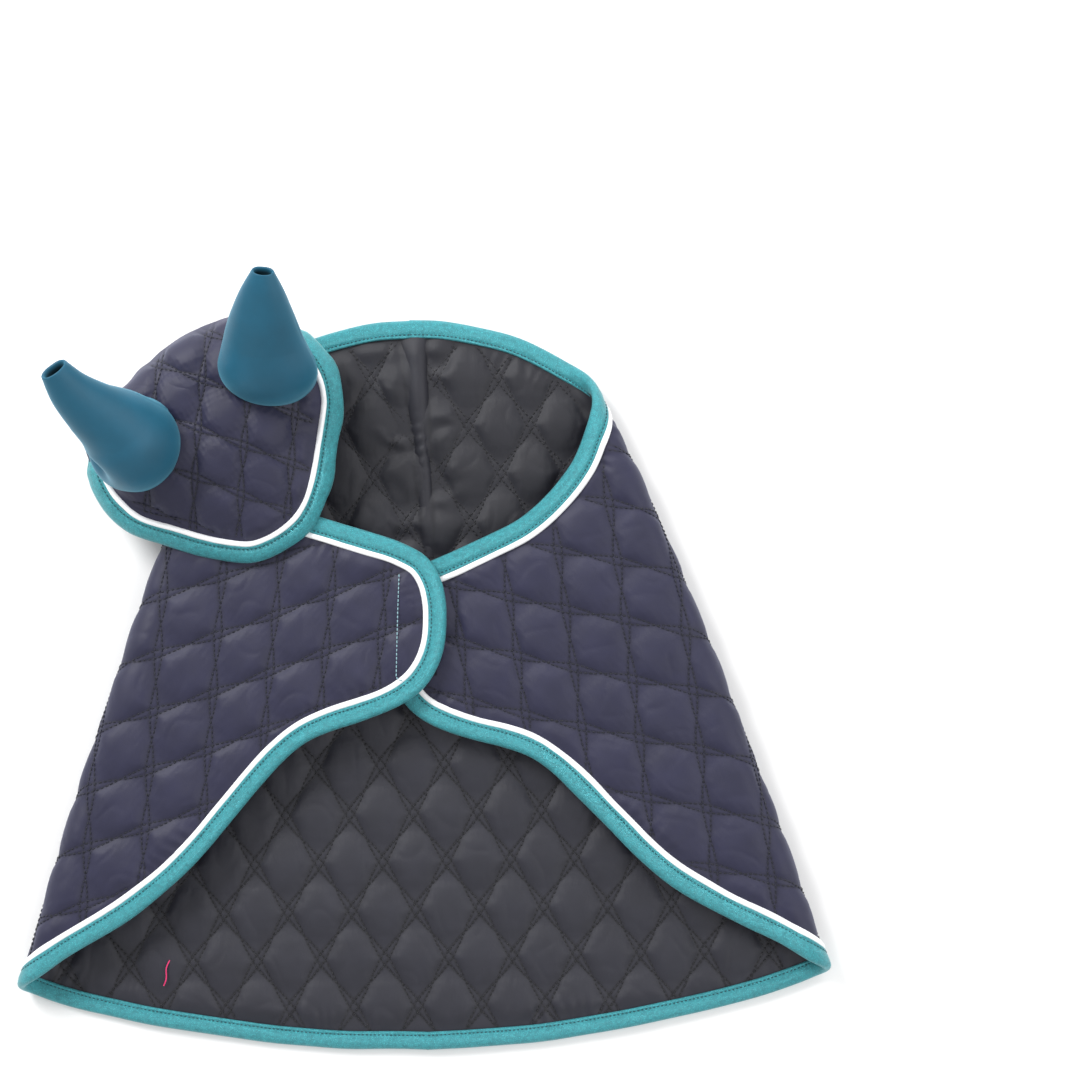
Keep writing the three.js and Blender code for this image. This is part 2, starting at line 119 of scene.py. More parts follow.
def spline(points, pitch):
    """A smooth line through points, resampled at an even pitch."""
    p = np.array(points, float)
    p = np.vstack([2 * p[0] - p[1], p, 2 * p[-1] - p[-2]])
    out = []
    for i in range(1, len(p) - 2):
        a, b, c, d = p[i - 1], p[i], p[i + 1], p[i + 2]
        knots = [0.0]
        for start, end in ((a, b), (b, c), (c, d)):
            knots.append(knots[-1] + math.sqrt(float(np.linalg.norm(end - start))))
        t0, t1, t2, t3 = knots
        t = np.linspace(t1, t2, 16, endpoint=False)[:, None]
        a1 = (t1 - t) / (t1 - t0) * a + (t - t0) / (t1 - t0) * b
        a2 = (t2 - t) / (t2 - t1) * b + (t - t1) / (t2 - t1) * c
        a3 = (t3 - t) / (t3 - t2) * c + (t - t2) / (t3 - t2) * d
        b1 = (t2 - t) / (t2 - t0) * a1 + (t - t0) / (t2 - t0) * a2
        b2 = (t3 - t) / (t3 - t1) * a2 + (t - t1) / (t3 - t1) * a3
        out.append((t2 - t) / (t2 - t1) * b1 + (t - t1) / (t2 - t1) * b2)
    line = np.vstack(out + [p[-2]])
    return resample(line, pitch)


def resample(line, pitch):
    steps = np.linalg.norm(np.diff(line, axis=0), axis=1)
    run = np.concatenate([[0], np.cumsum(steps)])
    count = max(2, int(round(run[-1] / pitch)) + 1)
    at = np.linspace(0, run[-1], count)
    return np.stack([np.interp(at, run, line[:, k]) for k in range(line.shape[1])], 1)


def from_fold(t, u):
    """Cutting-pattern point from the way along and across the side fold."""
    return NECK_CORNER + np.multiply.outer(np.asarray(t, float), ALONG) - np.multiply.outer(
        np.asarray(u, float) + SLACK, INWARD
    )


def to_fold(x, y):
    rel = np.stack([np.abs(x) - NECK_CORNER[0], y - NECK_CORNER[1]], -1)
    return rel @ ALONG, -(rel @ INWARD) - SLACK


def unfold(x, y):
    """Cutting-pattern point of a place on the folded front of the right half."""
    rel = np.stack([np.asarray(x, float) - NECK_CORNER[0], np.asarray(y, float) - NECK_CORNER[1]], -1)
    return from_fold(rel @ ALONG, rel @ INWARD + SLACK)


def waves(x, y, size, seed, count=9):
    """Smooth irregular waves of about the given size, from -1 to 1."""
    made = np.random.default_rng(seed)
    total = np.zeros(np.broadcast(x, y).shape)
    for _ in range(count):
        angle = made.uniform(0, math.tau)
        length = size * made.uniform(0.7, 1.6)
        along = (x * math.cos(angle) + y * math.sin(angle)) * math.tau / length
        total += np.sin(along + made.uniform(0, math.tau))
    return total / math.sqrt(count * 2)


def closing_shift(hand, d):
    return -hand * 7.0 * smoothstep(0, 150, d)


def side_bulge(t):
    share = np.clip(t / FOLD_LENGTH, -0.1, 1.1)
    return 5.0 * np.sin(np.clip(share, 0, 1) * math.pi) ** 0.8 - 4.0 * np.exp(-((share / 0.12) ** 2))


def fold_map(x, y, h):
    """Carries pattern points, h outwards from the middle of the cloth, to the folded rug, in metres."""
    x, y, h = np.broadcast_arrays(np.asarray(x, float), np.asarray(y, float), np.asarray(h, float))
    hand = np.where(x < 0, -1.0, 1.0)
    t, u = to_fold(x, y)
    phi = np.clip(u, -QUARTER, QUARTER) / ROLL
    flat = np.maximum(np.abs(u) - QUARTER, 0)
    d = ROLL + HALF_CLOTH - ROLL * np.cos(phi) + flat - h * np.cos(phi)
    z = HEIGHT / 2 + (ROLL + h) * np.sin(phi)
    lean = smoothstep(0, QUARTER, u)
    z = z - hand * FRONT_SLOPE * np.maximum(d - HINGE_INSET, 0) * lean
    out = side_bulge(t) * (1 - smoothstep(0, 80, d))
    px = NECK_CORNER[0] + t * ALONG[0] + (d - out) * INWARD[0]
    py = NECK_CORNER[1] + t * ALONG[1] + (d - out) * INWARD[1]
    py = py + closing_shift(hand, d) * lean
    z = z + lean * smoothstep(6, 60, d) * 0.9 * waves(px * hand, py, 130, 11)
    z = z + (1 - lean) * smoothstep(15, 70, d) * (0.5 + 0.5 * waves(px * hand, py, 110, 5))
    return np.stack([px * hand, py, z], -1) / 1000


class Sheet:
    """The flat cutting pattern of the whole rug: its edge and its quilting."""

    def __init__(self, cell_width, cell_height):
        neck = [np.array(p, float) for p in BACK_NECK] + [from_fold(t, u) for t, u in NECK_FOLD]
        front = [unfold(x, y) for x, y in FRONT_EDGE]
        hem = [from_fold(t, u) for t, u in HEM_FOLD] + [np.array(p, float) for p in BACK_HEM]
        self.edge = spline(neck + front + hem, EDGE_PITCH)
        self.edge[0, 0] = self.edge[-1, 0] = 0
        mirror = self.edge[::-1] * (-1, 1)
        self.loop = np.vstack([self.edge, mirror[1:-1]])
        self.e1 = np.array((cell_width / 2, -cell_height / 2))
        self.e2 = np.array((-cell_width / 2, -cell_height / 2))
        self.rise = abs(float(np.cross(self.e1, self.e2))) / float(np.linalg.norm(self.e1))
        self.node = unfold(95.1, 50.4)

    def inset(self, x, y):
        """Distance in from the free edge, negative outside."""
        return self.inset_and_run(x, y)[0]

    def inset_and_run(self, x, y):
        """Distance in from the free edge and how far along it the nearest place is."""
        p = np.stack([x, y], -1)
        best = np.full(p.shape[0], 1e9)
        run = np.zeros(p.shape[0])
        inside = np.zeros(p.shape[0], bool)
        loop = self.loop[::2]
        for k, (a, b) in enumerate(zip(loop, np.roll(loop, -1, axis=0))):
            ab = b - a
            s = np.clip(((p - a) @ ab) / (ab @ ab), 0, 1)
            gap = p - a - s[:, None] * ab
            square = np.einsum("ij,ij->i", gap, gap)
            nearer = square < best
            best = np.where(nearer, square, best)
            run = np.where(nearer, (k + s) * 2 * EDGE_PITCH, run)
            if a[1] != b[1]:
                crosses = (a[1] > p[:, 1]) != (b[1] > p[:, 1])
                inside ^= crosses & (p[:, 0] < a[0] + (p[:, 1] - a[1]) * ab[0] / ab[1])
        return np.where(inside, 1, -1) * np.sqrt(best), run


def rug_sheet(settings):
    return Sheet(settings.cell_width * 1000, settings.cell_height * 1000)


def near_pattern(x, y):
    """True for points in the box that holds the whole cutting pattern."""
    return (np.abs(x) < 460) & (y < 245) & (y > -360)


def quilt_gap(i, j, sway, rise):
    """Distance to the nearest stitch line: each quilting line is a pair that weaves across itself."""
    gaps = []
    for along, across in ((i, j), (j, i)):
        off = (across - np.round(across)) * rise
        swing = sway * np.cos(math.pi * along)
        gaps.append(np.minimum(np.abs(off - swing), np.abs(off + swing)))
    return np.minimum(gaps[0], gaps[1])


def pillow(gap, reach):
    """Height of a quilted pillow: steep off the stitch line and nearly flat on top."""
    return 1 - (1 - np.clip(gap / reach, 0, 1)) ** 3.0


class PuffedCloth:
    """One face of the quilting, held along its stitch lines and blown up by its filling.

    The cloth is simulated flat on a coarse grid in quilting steps and read back anywhere between them.
    """

    steps = 9  # grid steps along the side of a cell
    cells = 16
    first = 3  # the repeated stretch starts this many cells in
    stretch = 10
    frames = 24

    def __init__(self, settings):
        sheet = rug_sheet(settings)
        count = self.cells * self.steps + 1
        axis = np.arange(count) / self.steps - self.cells / 2
        i, j = (g.ravel() for g in np.meshgrid(axis, axis, indexing="ij"))
        xy = np.outer(i, sheet.e1) + np.outer(j, sheet.e2)
        gap = quilt_gap(i, j, settings.sway * 1000, sheet.rise)
        self.start = 1.2 * pillow(gap, 14.0)
        self.count = count
        self.height = self.start.reshape(count, count)
        self.height = self.settle(settings, xy, gap).reshape(count, count)
        for axis_number in (0, 1):
            self.height = soften(self.height, axis_number)
        inner = slice(self.steps, -self.steps)
        self.height /= np.percentile(self.height[inner, inner], 90)

    def settle(self, settings, xy, gap):
        """Heights of the grid after the filling has blown it up between its stitch lines."""
        verts = np.column_stack([xy, self.start]) / 1000
        quads = grid_quads(self.count, self.count)
        mesh = bpy.data.meshes.new("puffing")
        mesh.from_pydata([tuple(v) for v in verts], [], [tuple(int(k) for k in q) for q in quads[:, ::-1]])
        obj = bpy.data.objects.new("puffing", mesh)
        bpy.context.scene.collection.objects.link(obj)
        held = obj.vertex_groups.new(name="held")
        edge = np.zeros((self.count, self.count), bool)
        edge[0], edge[-1], edge[:, 0], edge[:, -1] = True, True, True, True
        fixed = np.flatnonzero((gap < 1.5) | edge.ravel())
        held.add([int(k) for k in fixed], 1.0, "REPLACE")
        cloth = obj.modifiers.new("cloth", "CLOTH")
        values = cloth.settings
        values.vertex_group_mass = "held"
        values.quality = 6
        values.mass = 0.15
        values.tension_stiffness = 12
        values.compression_stiffness = 12
        values.shear_stiffness = 6
        values.bending_stiffness = 0.5
        values.shrink_min = -settings.fullness
        values.use_pressure = True
        values.uniform_pressure_force = 1.6
        values.effector_weights.gravity = 0
        cloth.collision_settings.use_self_collision = False
        cloth.point_cache.frame_end = self.frames
        scene = bpy.context.scene
        for number in range(1, self.frames + 1):
            scene.frame_set(number)
        made = obj.evaluated_get(bpy.context.evaluated_depsgraph_get()).to_mesh()
        co = np.zeros(len(made.vertices) * 3)
        made.vertices.foreach_get("co", co)
        scene.frame_set(1)
        bpy.data.objects.remove(obj)
        height = co.reshape(-1, 3)[:, 2] * 1000
        return height * np.sign(height.mean() or 1)

    def at(self, i, j):
        """Height at quilting steps i, j, repeating the middle stretch."""
        gi = (self.first + np.asarray(i) % self.stretch) * self.steps
        gj = (self.first + np.asarray(j) % self.stretch) * self.steps
        return np.maximum(cubic(self.height, gi, gj), 0)


def soften(field, axis_number):
    """Evens out a grid a little along one of its directions."""
    before = np.roll(field, 1, axis=axis_number)
    after = np.roll(field, -1, axis=axis_number)
    return (before + 2 * field + after) / 4


def cubic(field, x, y):
    """Smooth reading of a grid between its points."""
    x0, y0 = np.floor(x).astype(int), np.floor(y).astype(int)
    fx, fy = x - x0, y - y0

    def weights(f):
        return (
            -0.5 * f + f * f - 0.5 * f**3,
            1 - 2.5 * f * f + 1.5 * f**3,
            0.5 * f + 2 * f * f - 1.5 * f**3,
            -0.5 * f * f + 0.5 * f**3,
        )

    total = 0
    limit = field.shape[0] - 1
    for a, wx in zip((-1, 0, 1, 2), weights(fx)):
        for b, wy in zip((-1, 0, 1, 2), weights(fy)):
            total = total + wx * wy * field[np.clip(x0 + a, 0, limit), np.clip(y0 + b, 0, limit)]
    return total


def creases(i, j, gap, x, y, seed):
    """Small puckers that run off the stitch lines, and a few longer creases across the pillows."""
    pull = np.sin(math.tau * i * 5.5 + 2 * waves(x, y, 40, seed)) * np.sin(math.tau * j * 5.5)
    near = np.exp(-(((gap - 3.5) / 3) ** 2))
    ridge = 1 - np.abs(waves(x, y, 34, seed + 1, 6))
    long = np.clip(ridge, 0, 1) ** 8 * smoothstep(2, 8, gap)
    return 0.22 * pull * near - 0.45 * long


def make_mesh(name, verts, faces, finish, normals=None, seam=None):
    """seam is 1 on a stitch line and 0 away from it, for the painted shade in the dips."""
    mesh = bpy.data.meshes.new(name)
    mesh.from_pydata([tuple(v) for v in verts], [], [tuple(int(i) for i in f) for f in faces])
    mesh.validate()
    obj = bpy.data.objects.new(name, mesh)
    bpy.context.scene.collection.objects.link(obj)
    mesh.shade_smooth()
    if normals is not None:
        mesh.normals_split_custom_set_from_vertices([tuple(n) for n in normals])
    if seam is not None:
        mesh.attributes.new("seam", "FLOAT", "POINT").data.foreach_set("value", np.asarray(seam, np.float32))
    mesh.materials.append(finish)
    return obj


def vertex_normals(verts, quads):
    a = verts[quads[:, 2]] - verts[quads[:, 0]]
    b = verts[quads[:, 3]] - verts[quads[:, 1]]
    face = np.cross(a, b)
    out = np.zeros_like(verts)
    for k in range(4):
        np.add.at(out, quads[:, k], face)
    return unit(out)


def subset(verts, normals, seam, quads, keep):
    """The points that the kept faces use, and those faces renumbered."""
    used = np.unique(quads[keep])
    index = np.full(len(verts), -1)
    index[used] = np.arange(len(used))
    return verts[used], normals[used], seam[used], index[quads[keep]]


# painted shade: the colour goes darker near a stitch line, standing in for the shade in the dip there
def seam_painted_shade(gap):
    return np.exp(-((gap / 0.9) ** 2))


def fold_place(hand, t, d, z):
    """A place t along a side fold, d in from it and z up, in metres."""
    p = NECK_CORNER + t * ALONG + d * INWARD
    return Vector((hand * p[0] / 1000, p[1] / 1000, z / 1000))


def hang_on(obj, hand, front):
    """Bakes a piece of the sheet's transform into its mesh; the places on the side wall worked out here, for
    the back and side or the side and front, are not used.
    """
    # short of the middle of the wall
    share = 0.64 if front else 0.36
    middle = fold_place(hand, FOLD_LENGTH / 2, HALF_CLOTH + 5, HEIGHT * share)
    if front:
        end = fold_place(hand, FOLD_LENGTH / 2, ROLL + 4, HEIGHT - HALF_CLOTH)
        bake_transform(obj)
    else:
        start = fold_place(hand, FOLD_LENGTH / 2, ROLL + 4, HALF_CLOTH)
        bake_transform(obj)
    return obj


def parts_of(x, y):
    """The four stretches of the sheet: (hand, front) and the mask of the points in each."""
    _, u = to_fold(x, y)
    for hand in (-1, 1):
        on_hand = (x < 0) if hand < 0 else (x >= 0)
        for front in (False, True):
            yield hand, front, on_hand & ((u > 0) == front)


def piece_name(kind, hand, front):
    return f"{'left' if hand < 0 else 'right'}_{'front' if front else 'back'}_{kind}"


QUILT = {}


def puffed_cloth(settings):
    if "cloth" not in QUILT:
        QUILT["cloth"] = PuffedCloth(settings)
    return QUILT["cloth"]


def quilted_faces(settings):
    """Both faces of the quilting on one grid that follows the stitch lines."""
    if "grid" not in QUILT:
        QUILT["grid"] = quilt_grid(settings)
    return QUILT["grid"]


def quilt_grid(settings):
    sheet = rug_sheet(settings)
    fine = settings.fineness
    span = np.arange(-26 * fine, 26 * fine + 1)
    gi, gj = np.meshgrid(span, span, indexing="ij")
    shape = gi.shape
    i, j = gi.ravel() / fine, gj.ravel() / fine
    xy = sheet.node + np.outer(i, sheet.e1) + np.outer(j, sheet.e2)
    box = near_pattern(*xy.T)
    inset, run = np.full(len(xy), -1.0), np.zeros(len(xy))
    inset[box], run[box] = sheet.inset_and_run(xy[box, 0], xy[box, 1])
    ok = (inset > 6).reshape(shape)
    cell = ok[:-1, :-1] & ok[1:, :-1] & ok[1:, 1:] & ok[:-1, 1:]
    quads = grid_quads(*shape)[cell.ravel()]
    used = np.unique(quads)
    index = np.full(len(xy), -1)
    index[used] = np.arange(len(used))
    return sheet, xy[used], i[used], j[used], (inset[used], run[used]), index[quads]


def quilt_relief(settings, sheet, x, y, i, j, edge, outer):
    """How far the quilting stands off its stitch lines, in millimetres."""
    inset, run = edge
    gap = quilt_gap(i, j, settings.sway * 1000, sheet.rise)
    shift = 0 if outer else 4
    puffed = puffed_cloth(settings).at(i + shift, j + 2 * shift)
    rise = settings.puff * 1000
    _, u = to_fold(x, y)
    calm = 1 - 0.45 * np.exp(-((u / 16) ** 2))
    soft = smoothstep(10, 22, inset) * calm
    relief = rise * puffed * pillow(gap, SHOULDER) * (1 + 0.14 * waves(x, y, 70, 3 if outer else 8)) * soft
    pleats = creases(i, j, gap, x, y, 21 if outer else 31) * smoothstep(0.5, 6, gap) * soft
    # the cloth gathers where it goes under the binding
    patchy = smoothstep(-0.4, 0.8, waves(run, inset, 90, 18))
    beat = np.sin(run * math.tau / GATHER_PITCH + 3 * waves(x, y, 30, 17))
    gathers = beat * np.exp(-(((inset - 17) / 7) ** 2)) * 0.55 * patchy
    return relief + pleats + gathers, gap


def add_cloth(settings, outer):
    sheet, xy, i, j, edge, quads = quilted_faces(settings)
    x, y = xy.T
    relief, gap = quilt_relief(settings, sheet, x, y, i, j, edge, outer)
    face = 1.0 if outer else -1.0
    h = face * (PLY_REST + relief)
    # painted shade along the stitch lines
    seam = seam_painted_shade(gap)
    if not outer:
        # the lining is slack inside the folds, so it stays clear of the ground when the rug lies open
        slack = 2.4 * np.exp(-((to_fold(x, y)[1] / 16) ** 2))
        h = np.minimum(h - dart_relief(x, y), -0.4) - slack
        # painted shade: the back's lining towards the neck is darkened, standing in for the shade under the
        # fronts and the bonnet
        inside = 0.7 * smoothstep(30, 110, y) * (to_fold(x, y)[1] < 0)
        seam = np.maximum(np.maximum(seam, dart_shade(x, y)), inside)
    verts = fold_map(x, y, h)
    folded = to_fold(*xy[quads[0]].mean(0))[1] > 0
    if (facing(verts, quads[:1], (0, 0, face if folded else -face)) != quads[:1]).any():
        quads = quads[:, ::-1]
    normals = vertex_normals(verts, quads)
    kind = "outer" if outer else "lining"
    centre = xy[quads].mean(1)
    made = []
    for hand, front, mask in parts_of(centre[:, 0], centre[:, 1]):
        pv, pn, ps, pq = subset(verts, normals, seam, quads, mask)
        obj = make_mesh(piece_name(kind + "_cloth", hand, front), pv, pq, material(kind), pn, ps)
        hang_on(obj, hand, front)
        side = "left" if hand < 0 else "right"
        nodes = [f"{side}_front_{kind}"] if front else [f"back_{kind}", f"{side}_side_{kind}"]
        if outer:
            nodes += [f"{side}_front_wadding"] if front else ["back_wadding", f"{side}_side_wadding"]
        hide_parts(*nodes)
        made.append(obj)
    return made


DART_TOP = np.array((2.0, 226.0))
DART_END = np.array((9.0, 84.0))
DART_RUN = DART_END - DART_TOP
DART_LENGTH = float(np.linalg.norm(DART_RUN))
DART_WAY = DART_RUN / DART_LENGTH
DART_TAPER = 0.62  # share of the tuck's width that is gone at its end
DART_KNOT = 0.52  # where along it the tuck is pinched


def dart_frame(x, y):
    """Way along the tuck, way off its edge, its side, and how far the lining there feels it."""
    rel = np.stack([x - DART_TOP[0], y - DART_TOP[1]], -1)
    s = (rel @ DART_WAY) / DART_LENGTH
    across = rel @ np.array((-DART_WAY[1], DART_WAY[0]))
    off = np.abs(across) - 8.0 * (1 - DART_TAPER * np.clip(s, 0, 1))
    felt = smoothstep(-0.3, 0.02, s) * (1 - smoothstep(0.9, 1.15, s)) * (to_fold(x, y)[1] < 0)
    return s, off, np.sign(across), felt


def dart_relief(x, y):
    """How the tuck at the withers pulls the lining around it."""
    s, off, side, felt = dart_frame(x, y)
    ditch = np.exp(-(((off - 1.5) / 2.6) ** 2))
    beat = np.sin(s * 34 + side * 1.2 + 2.0 * waves(x, y, 35, 14))
    puckers = beat * np.exp(-(((off - 10) / 10) ** 2))
    knot = np.exp(-(((s - DART_KNOT) / 0.12) ** 2))
    return felt * (-0.7 * ditch + (0.8 + 0.9 * knot) * puckers)


def dart_shade(x, y):
    """Where the tuck pinches the lining and no light gets in."""
    _, off, _, felt = dart_frame(x, y)
    return felt * np.exp(-(((off - 0.6) / 1.8) ** 2))


def add_dart():
    """The tuck itself: a soft fold that stands on the lining and leans a little."""
    s = np.linspace(-0.03, 1.02, 110)
    profile = np.linspace(-1, 1, 25)
    grid_s, grid_p = np.meshgrid(s, profile, indexing="ij")
    along = np.clip(grid_s, 0, 1)
    knot = np.exp(-(((grid_s - DART_KNOT) / 0.1) ** 2))
    wide = 8.6 * (1 - DART_TAPER * along) * (1 - 0.22 * knot)
    tall = (3.4 * (1 - along) ** 0.7 + 1.3) * smoothstep(-0.04, 0.12, grid_s)
    wobble = 0.5 * waves(grid_s * 142, grid_p * 9, 26, 15) + 0.9 * knot * np.sin(grid_s * 120 + grid_p)
    across = wide * grid_p * (1 + 0.1 * wobble) + 1.6 * (1 - along) * (1 - grid_p ** 2)
    lift = tall * np.cos(grid_p * math.pi / 2) ** 0.8 + 0.55 * wobble * (1 - grid_p ** 2)
    x = DART_TOP[0] + DART_WAY[0] * grid_s * DART_LENGTH - DART_WAY[1] * across
    y = DART_TOP[1] + DART_WAY[1] * grid_s * DART_LENGTH + DART_WAY[0] * across
    verts = fold_map(x, y, -0.3 - lift).reshape(-1, 3)
    quads = grid_quads(len(s), len(profile))
    # painted shade: the whole tuck is darkened, more towards its sides where it folds against the lining
    seam = 0.45 + 0.5 * np.abs(grid_p).ravel() ** 4
    obj = make_mesh("withers_tuck", verts, facing(verts, quads, (0, 0, 1)), material("lining"), seam=seam)
    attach(obj, "back")
    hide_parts("withers_dart")
    return obj


def grid_quads(rows, columns, closed=False, wrapped=False):
    """Faces of a grid of points. closed joins its last column to its first, and wrapped its rows."""
    number = np.arange(rows * columns).reshape(rows, columns)
    if closed:
        number = np.hstack([number, number[:, :1]])
    if wrapped:
        number = np.vstack([number, number[:1]])
    corners = (number[:-1, :-1], number[1:, :-1], number[1:, 1:], number[:-1, 1:])
    return np.stack([corner.ravel() for corner in corners], 1)


def facing(verts, quads, way):
    """Turns the faces round if most of them look against way."""
    a = verts[quads[:, 2]] - verts[quads[:, 0]]
    b = verts[quads[:, 3]] - verts[quads[:, 1]]
    if (np.cross(a, b) @ np.array(way)).sum() < 0:
        return quads[:, ::-1]
    return quads


def edge_runs(sheet):
    """The free edge as runs that stop at the spine and at the middle of each side fold."""
    edge = sheet.edge
    _, u = to_fold(edge[:, 0], edge[:, 1])
    cross = [k for k in range(len(u) - 1) if (u[k] > 0) != (u[k + 1] > 0)]
    first, last = cross[0] + 1, cross[-1] + 1
    step = np.gradient(edge, axis=0)
    step /= np.linalg.norm(step, axis=1)[:, None]
    into = np.stack([step[:, 1], -step[:, 0]], 1)
    if (into[10] @ (np.array((0, 0)) - edge[10])) < 0:
        into = -into
    into[0] = (0, -1)
    into[-1] = (0, 1)
    spans = {"neck": (0, first + 1), "front": (first, last + 1), "hem": (last, len(edge))}
    for hand in (-1, 1):
        for label, (start, stop) in spans.items():
            rows = slice(start, stop)
            run = np.arange(start, stop) * EDGE_PITCH
            yield hand, label, edge[rows] * (hand, 1), into[rows] * (hand, 1), run


def sweep_edge(name, kind, profile, sheet, nodes_of, rumple):
    """Sweeps a cross-section of (inset, height) pairs along every run of the free edge."""
    made = []
    e, h = np.array(profile, float).T
    for hand, label, line, into, run in edge_runs(sheet):
        ee, hh = rumple(run[:, None], e[None, :], h[None, :], hand)
        x = line[:, 0, None] + into[:, 0, None] * ee
        y = line[:, 1, None] + into[:, 1, None] * ee
        x = np.where(np.abs(x) < 1e-6, 1e-6 * hand, x)
        verts = fold_map(x, y, hh).reshape(-1, 3)
        quads = grid_quads(len(line), len(e))
        quads = facing_away(verts, quads, line, into, len(e), int(np.argmax(h)))
        side = "left" if hand < 0 else "right"
        obj = make_mesh(f"{side}_{label}_{name}", verts, quads, material(kind))
        hang_on(obj, hand, label == "front")
        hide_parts(*nodes_of(side, label))
        made.append(obj)
    return made


def facing_away(verts, quads, line, into, columns, top):
    """Faces look away from the middle of the cloth at the profile's highest point."""
    k = len(line) // 2
    here = verts[k * columns + top]
    core = fold_map(line[k, 0] + into[k, 0] * 6, line[k, 1] + into[k, 1] * 6, 0.0)
    quad = quads[k * (columns - 1) + min(top, columns - 2)]
    normal = np.cross(verts[quad[2]] - verts[quad[0]], verts[quad[3]] - verts[quad[1]])
    return quads[:, ::-1] if normal @ (here - core) < 0 else quads


def add_binding(settings):
    sheet = rug_sheet(settings)
    wide = settings.binding_width * 1000
    half = [(wide, 1.4), (wide - 0.25, 2.3), (wide - 0.9, 2.75), (wide - 1.6, 2.6), (wide - 2.2, 2.35)]
    half += [(wide - 2.8, 2.65), (wide - 3.9, 3.1), (wide * 0.48, 3.35), (wide * 0.3, 3.2)]
    half += [(wide * 0.15, 2.8), (wide * 0.05, 1.9), (0.0, 0.9)]
    profile = half + [(-0.15, 0.0)] + [(e, -h) for e, h in reversed(half)]

    def rumple(run, e, h, hand):
        share = np.clip(e / wide, 0, 1)
        soft = 0.5 * waves(run, e * 3, 13, 41 + hand) + 0.3 * waves(run, 0 * e, 55, 44 + hand)
        hh = h * (1 + 0.16 * soft * np.sin(math.pi * share))
        ee = e + 0.35 * waves(run, 0 * e, 48, 47 + hand) * (1 - 0.3 * share)
        return np.broadcast_arrays(ee, hh)

    def nodes_of(side, label):
        if label == "front":
            return [f"{side}_front_binding"]
        return [f"back_{label}_binding", f"{side}_side_{label}_binding"]

    made = sweep_edge("binding", "binding", profile, sheet, nodes_of, rumple)
    for face in (1, -1):
        name = "binding_stitch" if face > 0 else "binding_stitch_inside"
        made += stitch_edge(name, sheet, wide - STITCH_INSET, face * 2.5)
    return made


def add_piping(settings):
    sheet = rug_sheet(settings)
    start = settings.binding_width * 1000 - 0.6
    wide = settings.piping_width * 1000
    angles = np.linspace(0, math.pi, 13)
    profile = [(start + wide * (1 - math.cos(a)) / 2, 0.9 + 2.1 * math.sin(a) ** 0.7) for a in angles]

    def rumple(run, e, h, hand):
        soft = waves(run, e * 2, 9, 61 + hand)
        ee = e + 0.22 * waves(run, 0 * e, 40, 64 + hand)
        return np.broadcast_arrays(ee, h * (1 + 0.05 * soft))

    def nodes_of(side, label):
        if label == "front":
            return [f"{side}_front_piping"]
        return [f"back_{label}_piping", f"{side}_side_{label}_piping"]

    return sweep_edge("piping", "piping", profile, sheet, nodes_of, rumple)


def thread_mesh(name, starts, ends, ups, radius, mat):
    """Short raised stitches from starts to ends, as one mesh. The radius is in millimetres."""
    radius = radius / 1000
    along = ends - starts
    side = unit(np.cross(along, ups))
    rings = [(0.0, 0.25, -0.5), (0.2, 0.9, 0.35), (0.8, 0.9, 0.35), (1.0, 0.25, -0.5)]
    verts = []
    for share, grow, lift in rings:
        centre = starts + along * share + ups * radius * lift
        for angle in (0, 60, 120, 180, 240, 300):
            c, s = math.cos(math.radians(angle)), math.sin(math.radians(angle))
            verts.append(centre + radius * grow * (side * c + ups * s))
    count = len(starts)
    verts = np.stack(verts, 1).reshape(-1, 3)
    quads = []
    for r in range(3):
        for k in range(6):
            n = (k + 1) % 6
            quads.append((r * 6 + k, r * 6 + n, (r + 1) * 6 + n, (r + 1) * 6 + k))
    quads = np.array(quads)
    every = (np.arange(count)[:, None, None] * 24 + quads[None]).reshape(-1, 4)
    return make_mesh(name, verts, every, mat)


def stitch_row(x, y, h, cover):
    """Stitch starts, ends and outward directions along a pattern line at height h."""
    line = resample(np.stack([x, y], 1), EDGE_STITCH)
    step = np.diff(line, axis=0)
    a = line[:-1]
    b = a + step * cover
    starts, ends = fold_map(a[:, 0], a[:, 1], h), fold_map(b[:, 0], b[:, 1], h)
    return starts, ends, unit(fold_map(a[:, 0], a[:, 1], h * 1.3) - starts)


def stitch_edge(name, sheet, inset, h):
    """A row of stitches in the binding, inset from the free edge, at height h."""
    made = []
    for hand, label, line, into, _ in edge_runs(sheet):
        at = line + into * inset
        starts, ends, ups = stitch_row(at[:, 0], at[:, 1], h, EDGE_COVER)
        side = "left" if hand < 0 else "right"
        finish = material("binding_thread")
        obj = thread_mesh(f"{side}_{label}_{name}", starts, ends, ups, EDGE_THREAD, finish)
        hang_on(obj, hand, label == "front")
        made.append(obj)
    return made


def quilt_lines(sheet, origin, sway, reach):
    """Starts and ends of the stitches on every weaving pair of quilting lines, out to reach cells."""
    s = np.arange(-reach, reach, 0.04)
    starts, ends = [], []
    for e_along, e_across in ((sheet.e1, sheet.e2), (sheet.e2, sheet.e1)):
        square = unit(e_across - e_along * float(e_across @ e_along) / float(e_along @ e_along))
        for k in range(-reach, reach + 1):
            for sign in (-1, 1):
                swing = sign * sway * np.cos(math.pi * s)
                line = origin + e_across * k + np.outer(s, e_along) + np.outer(swing, square)
                line = resample(line, QUILT_PITCH)
                starts.append(line[:-1])
                ends.append(line[:-1] + np.diff(line, axis=0) * QUILT_COVER)
    return np.vstack(starts), np.vstack(ends)


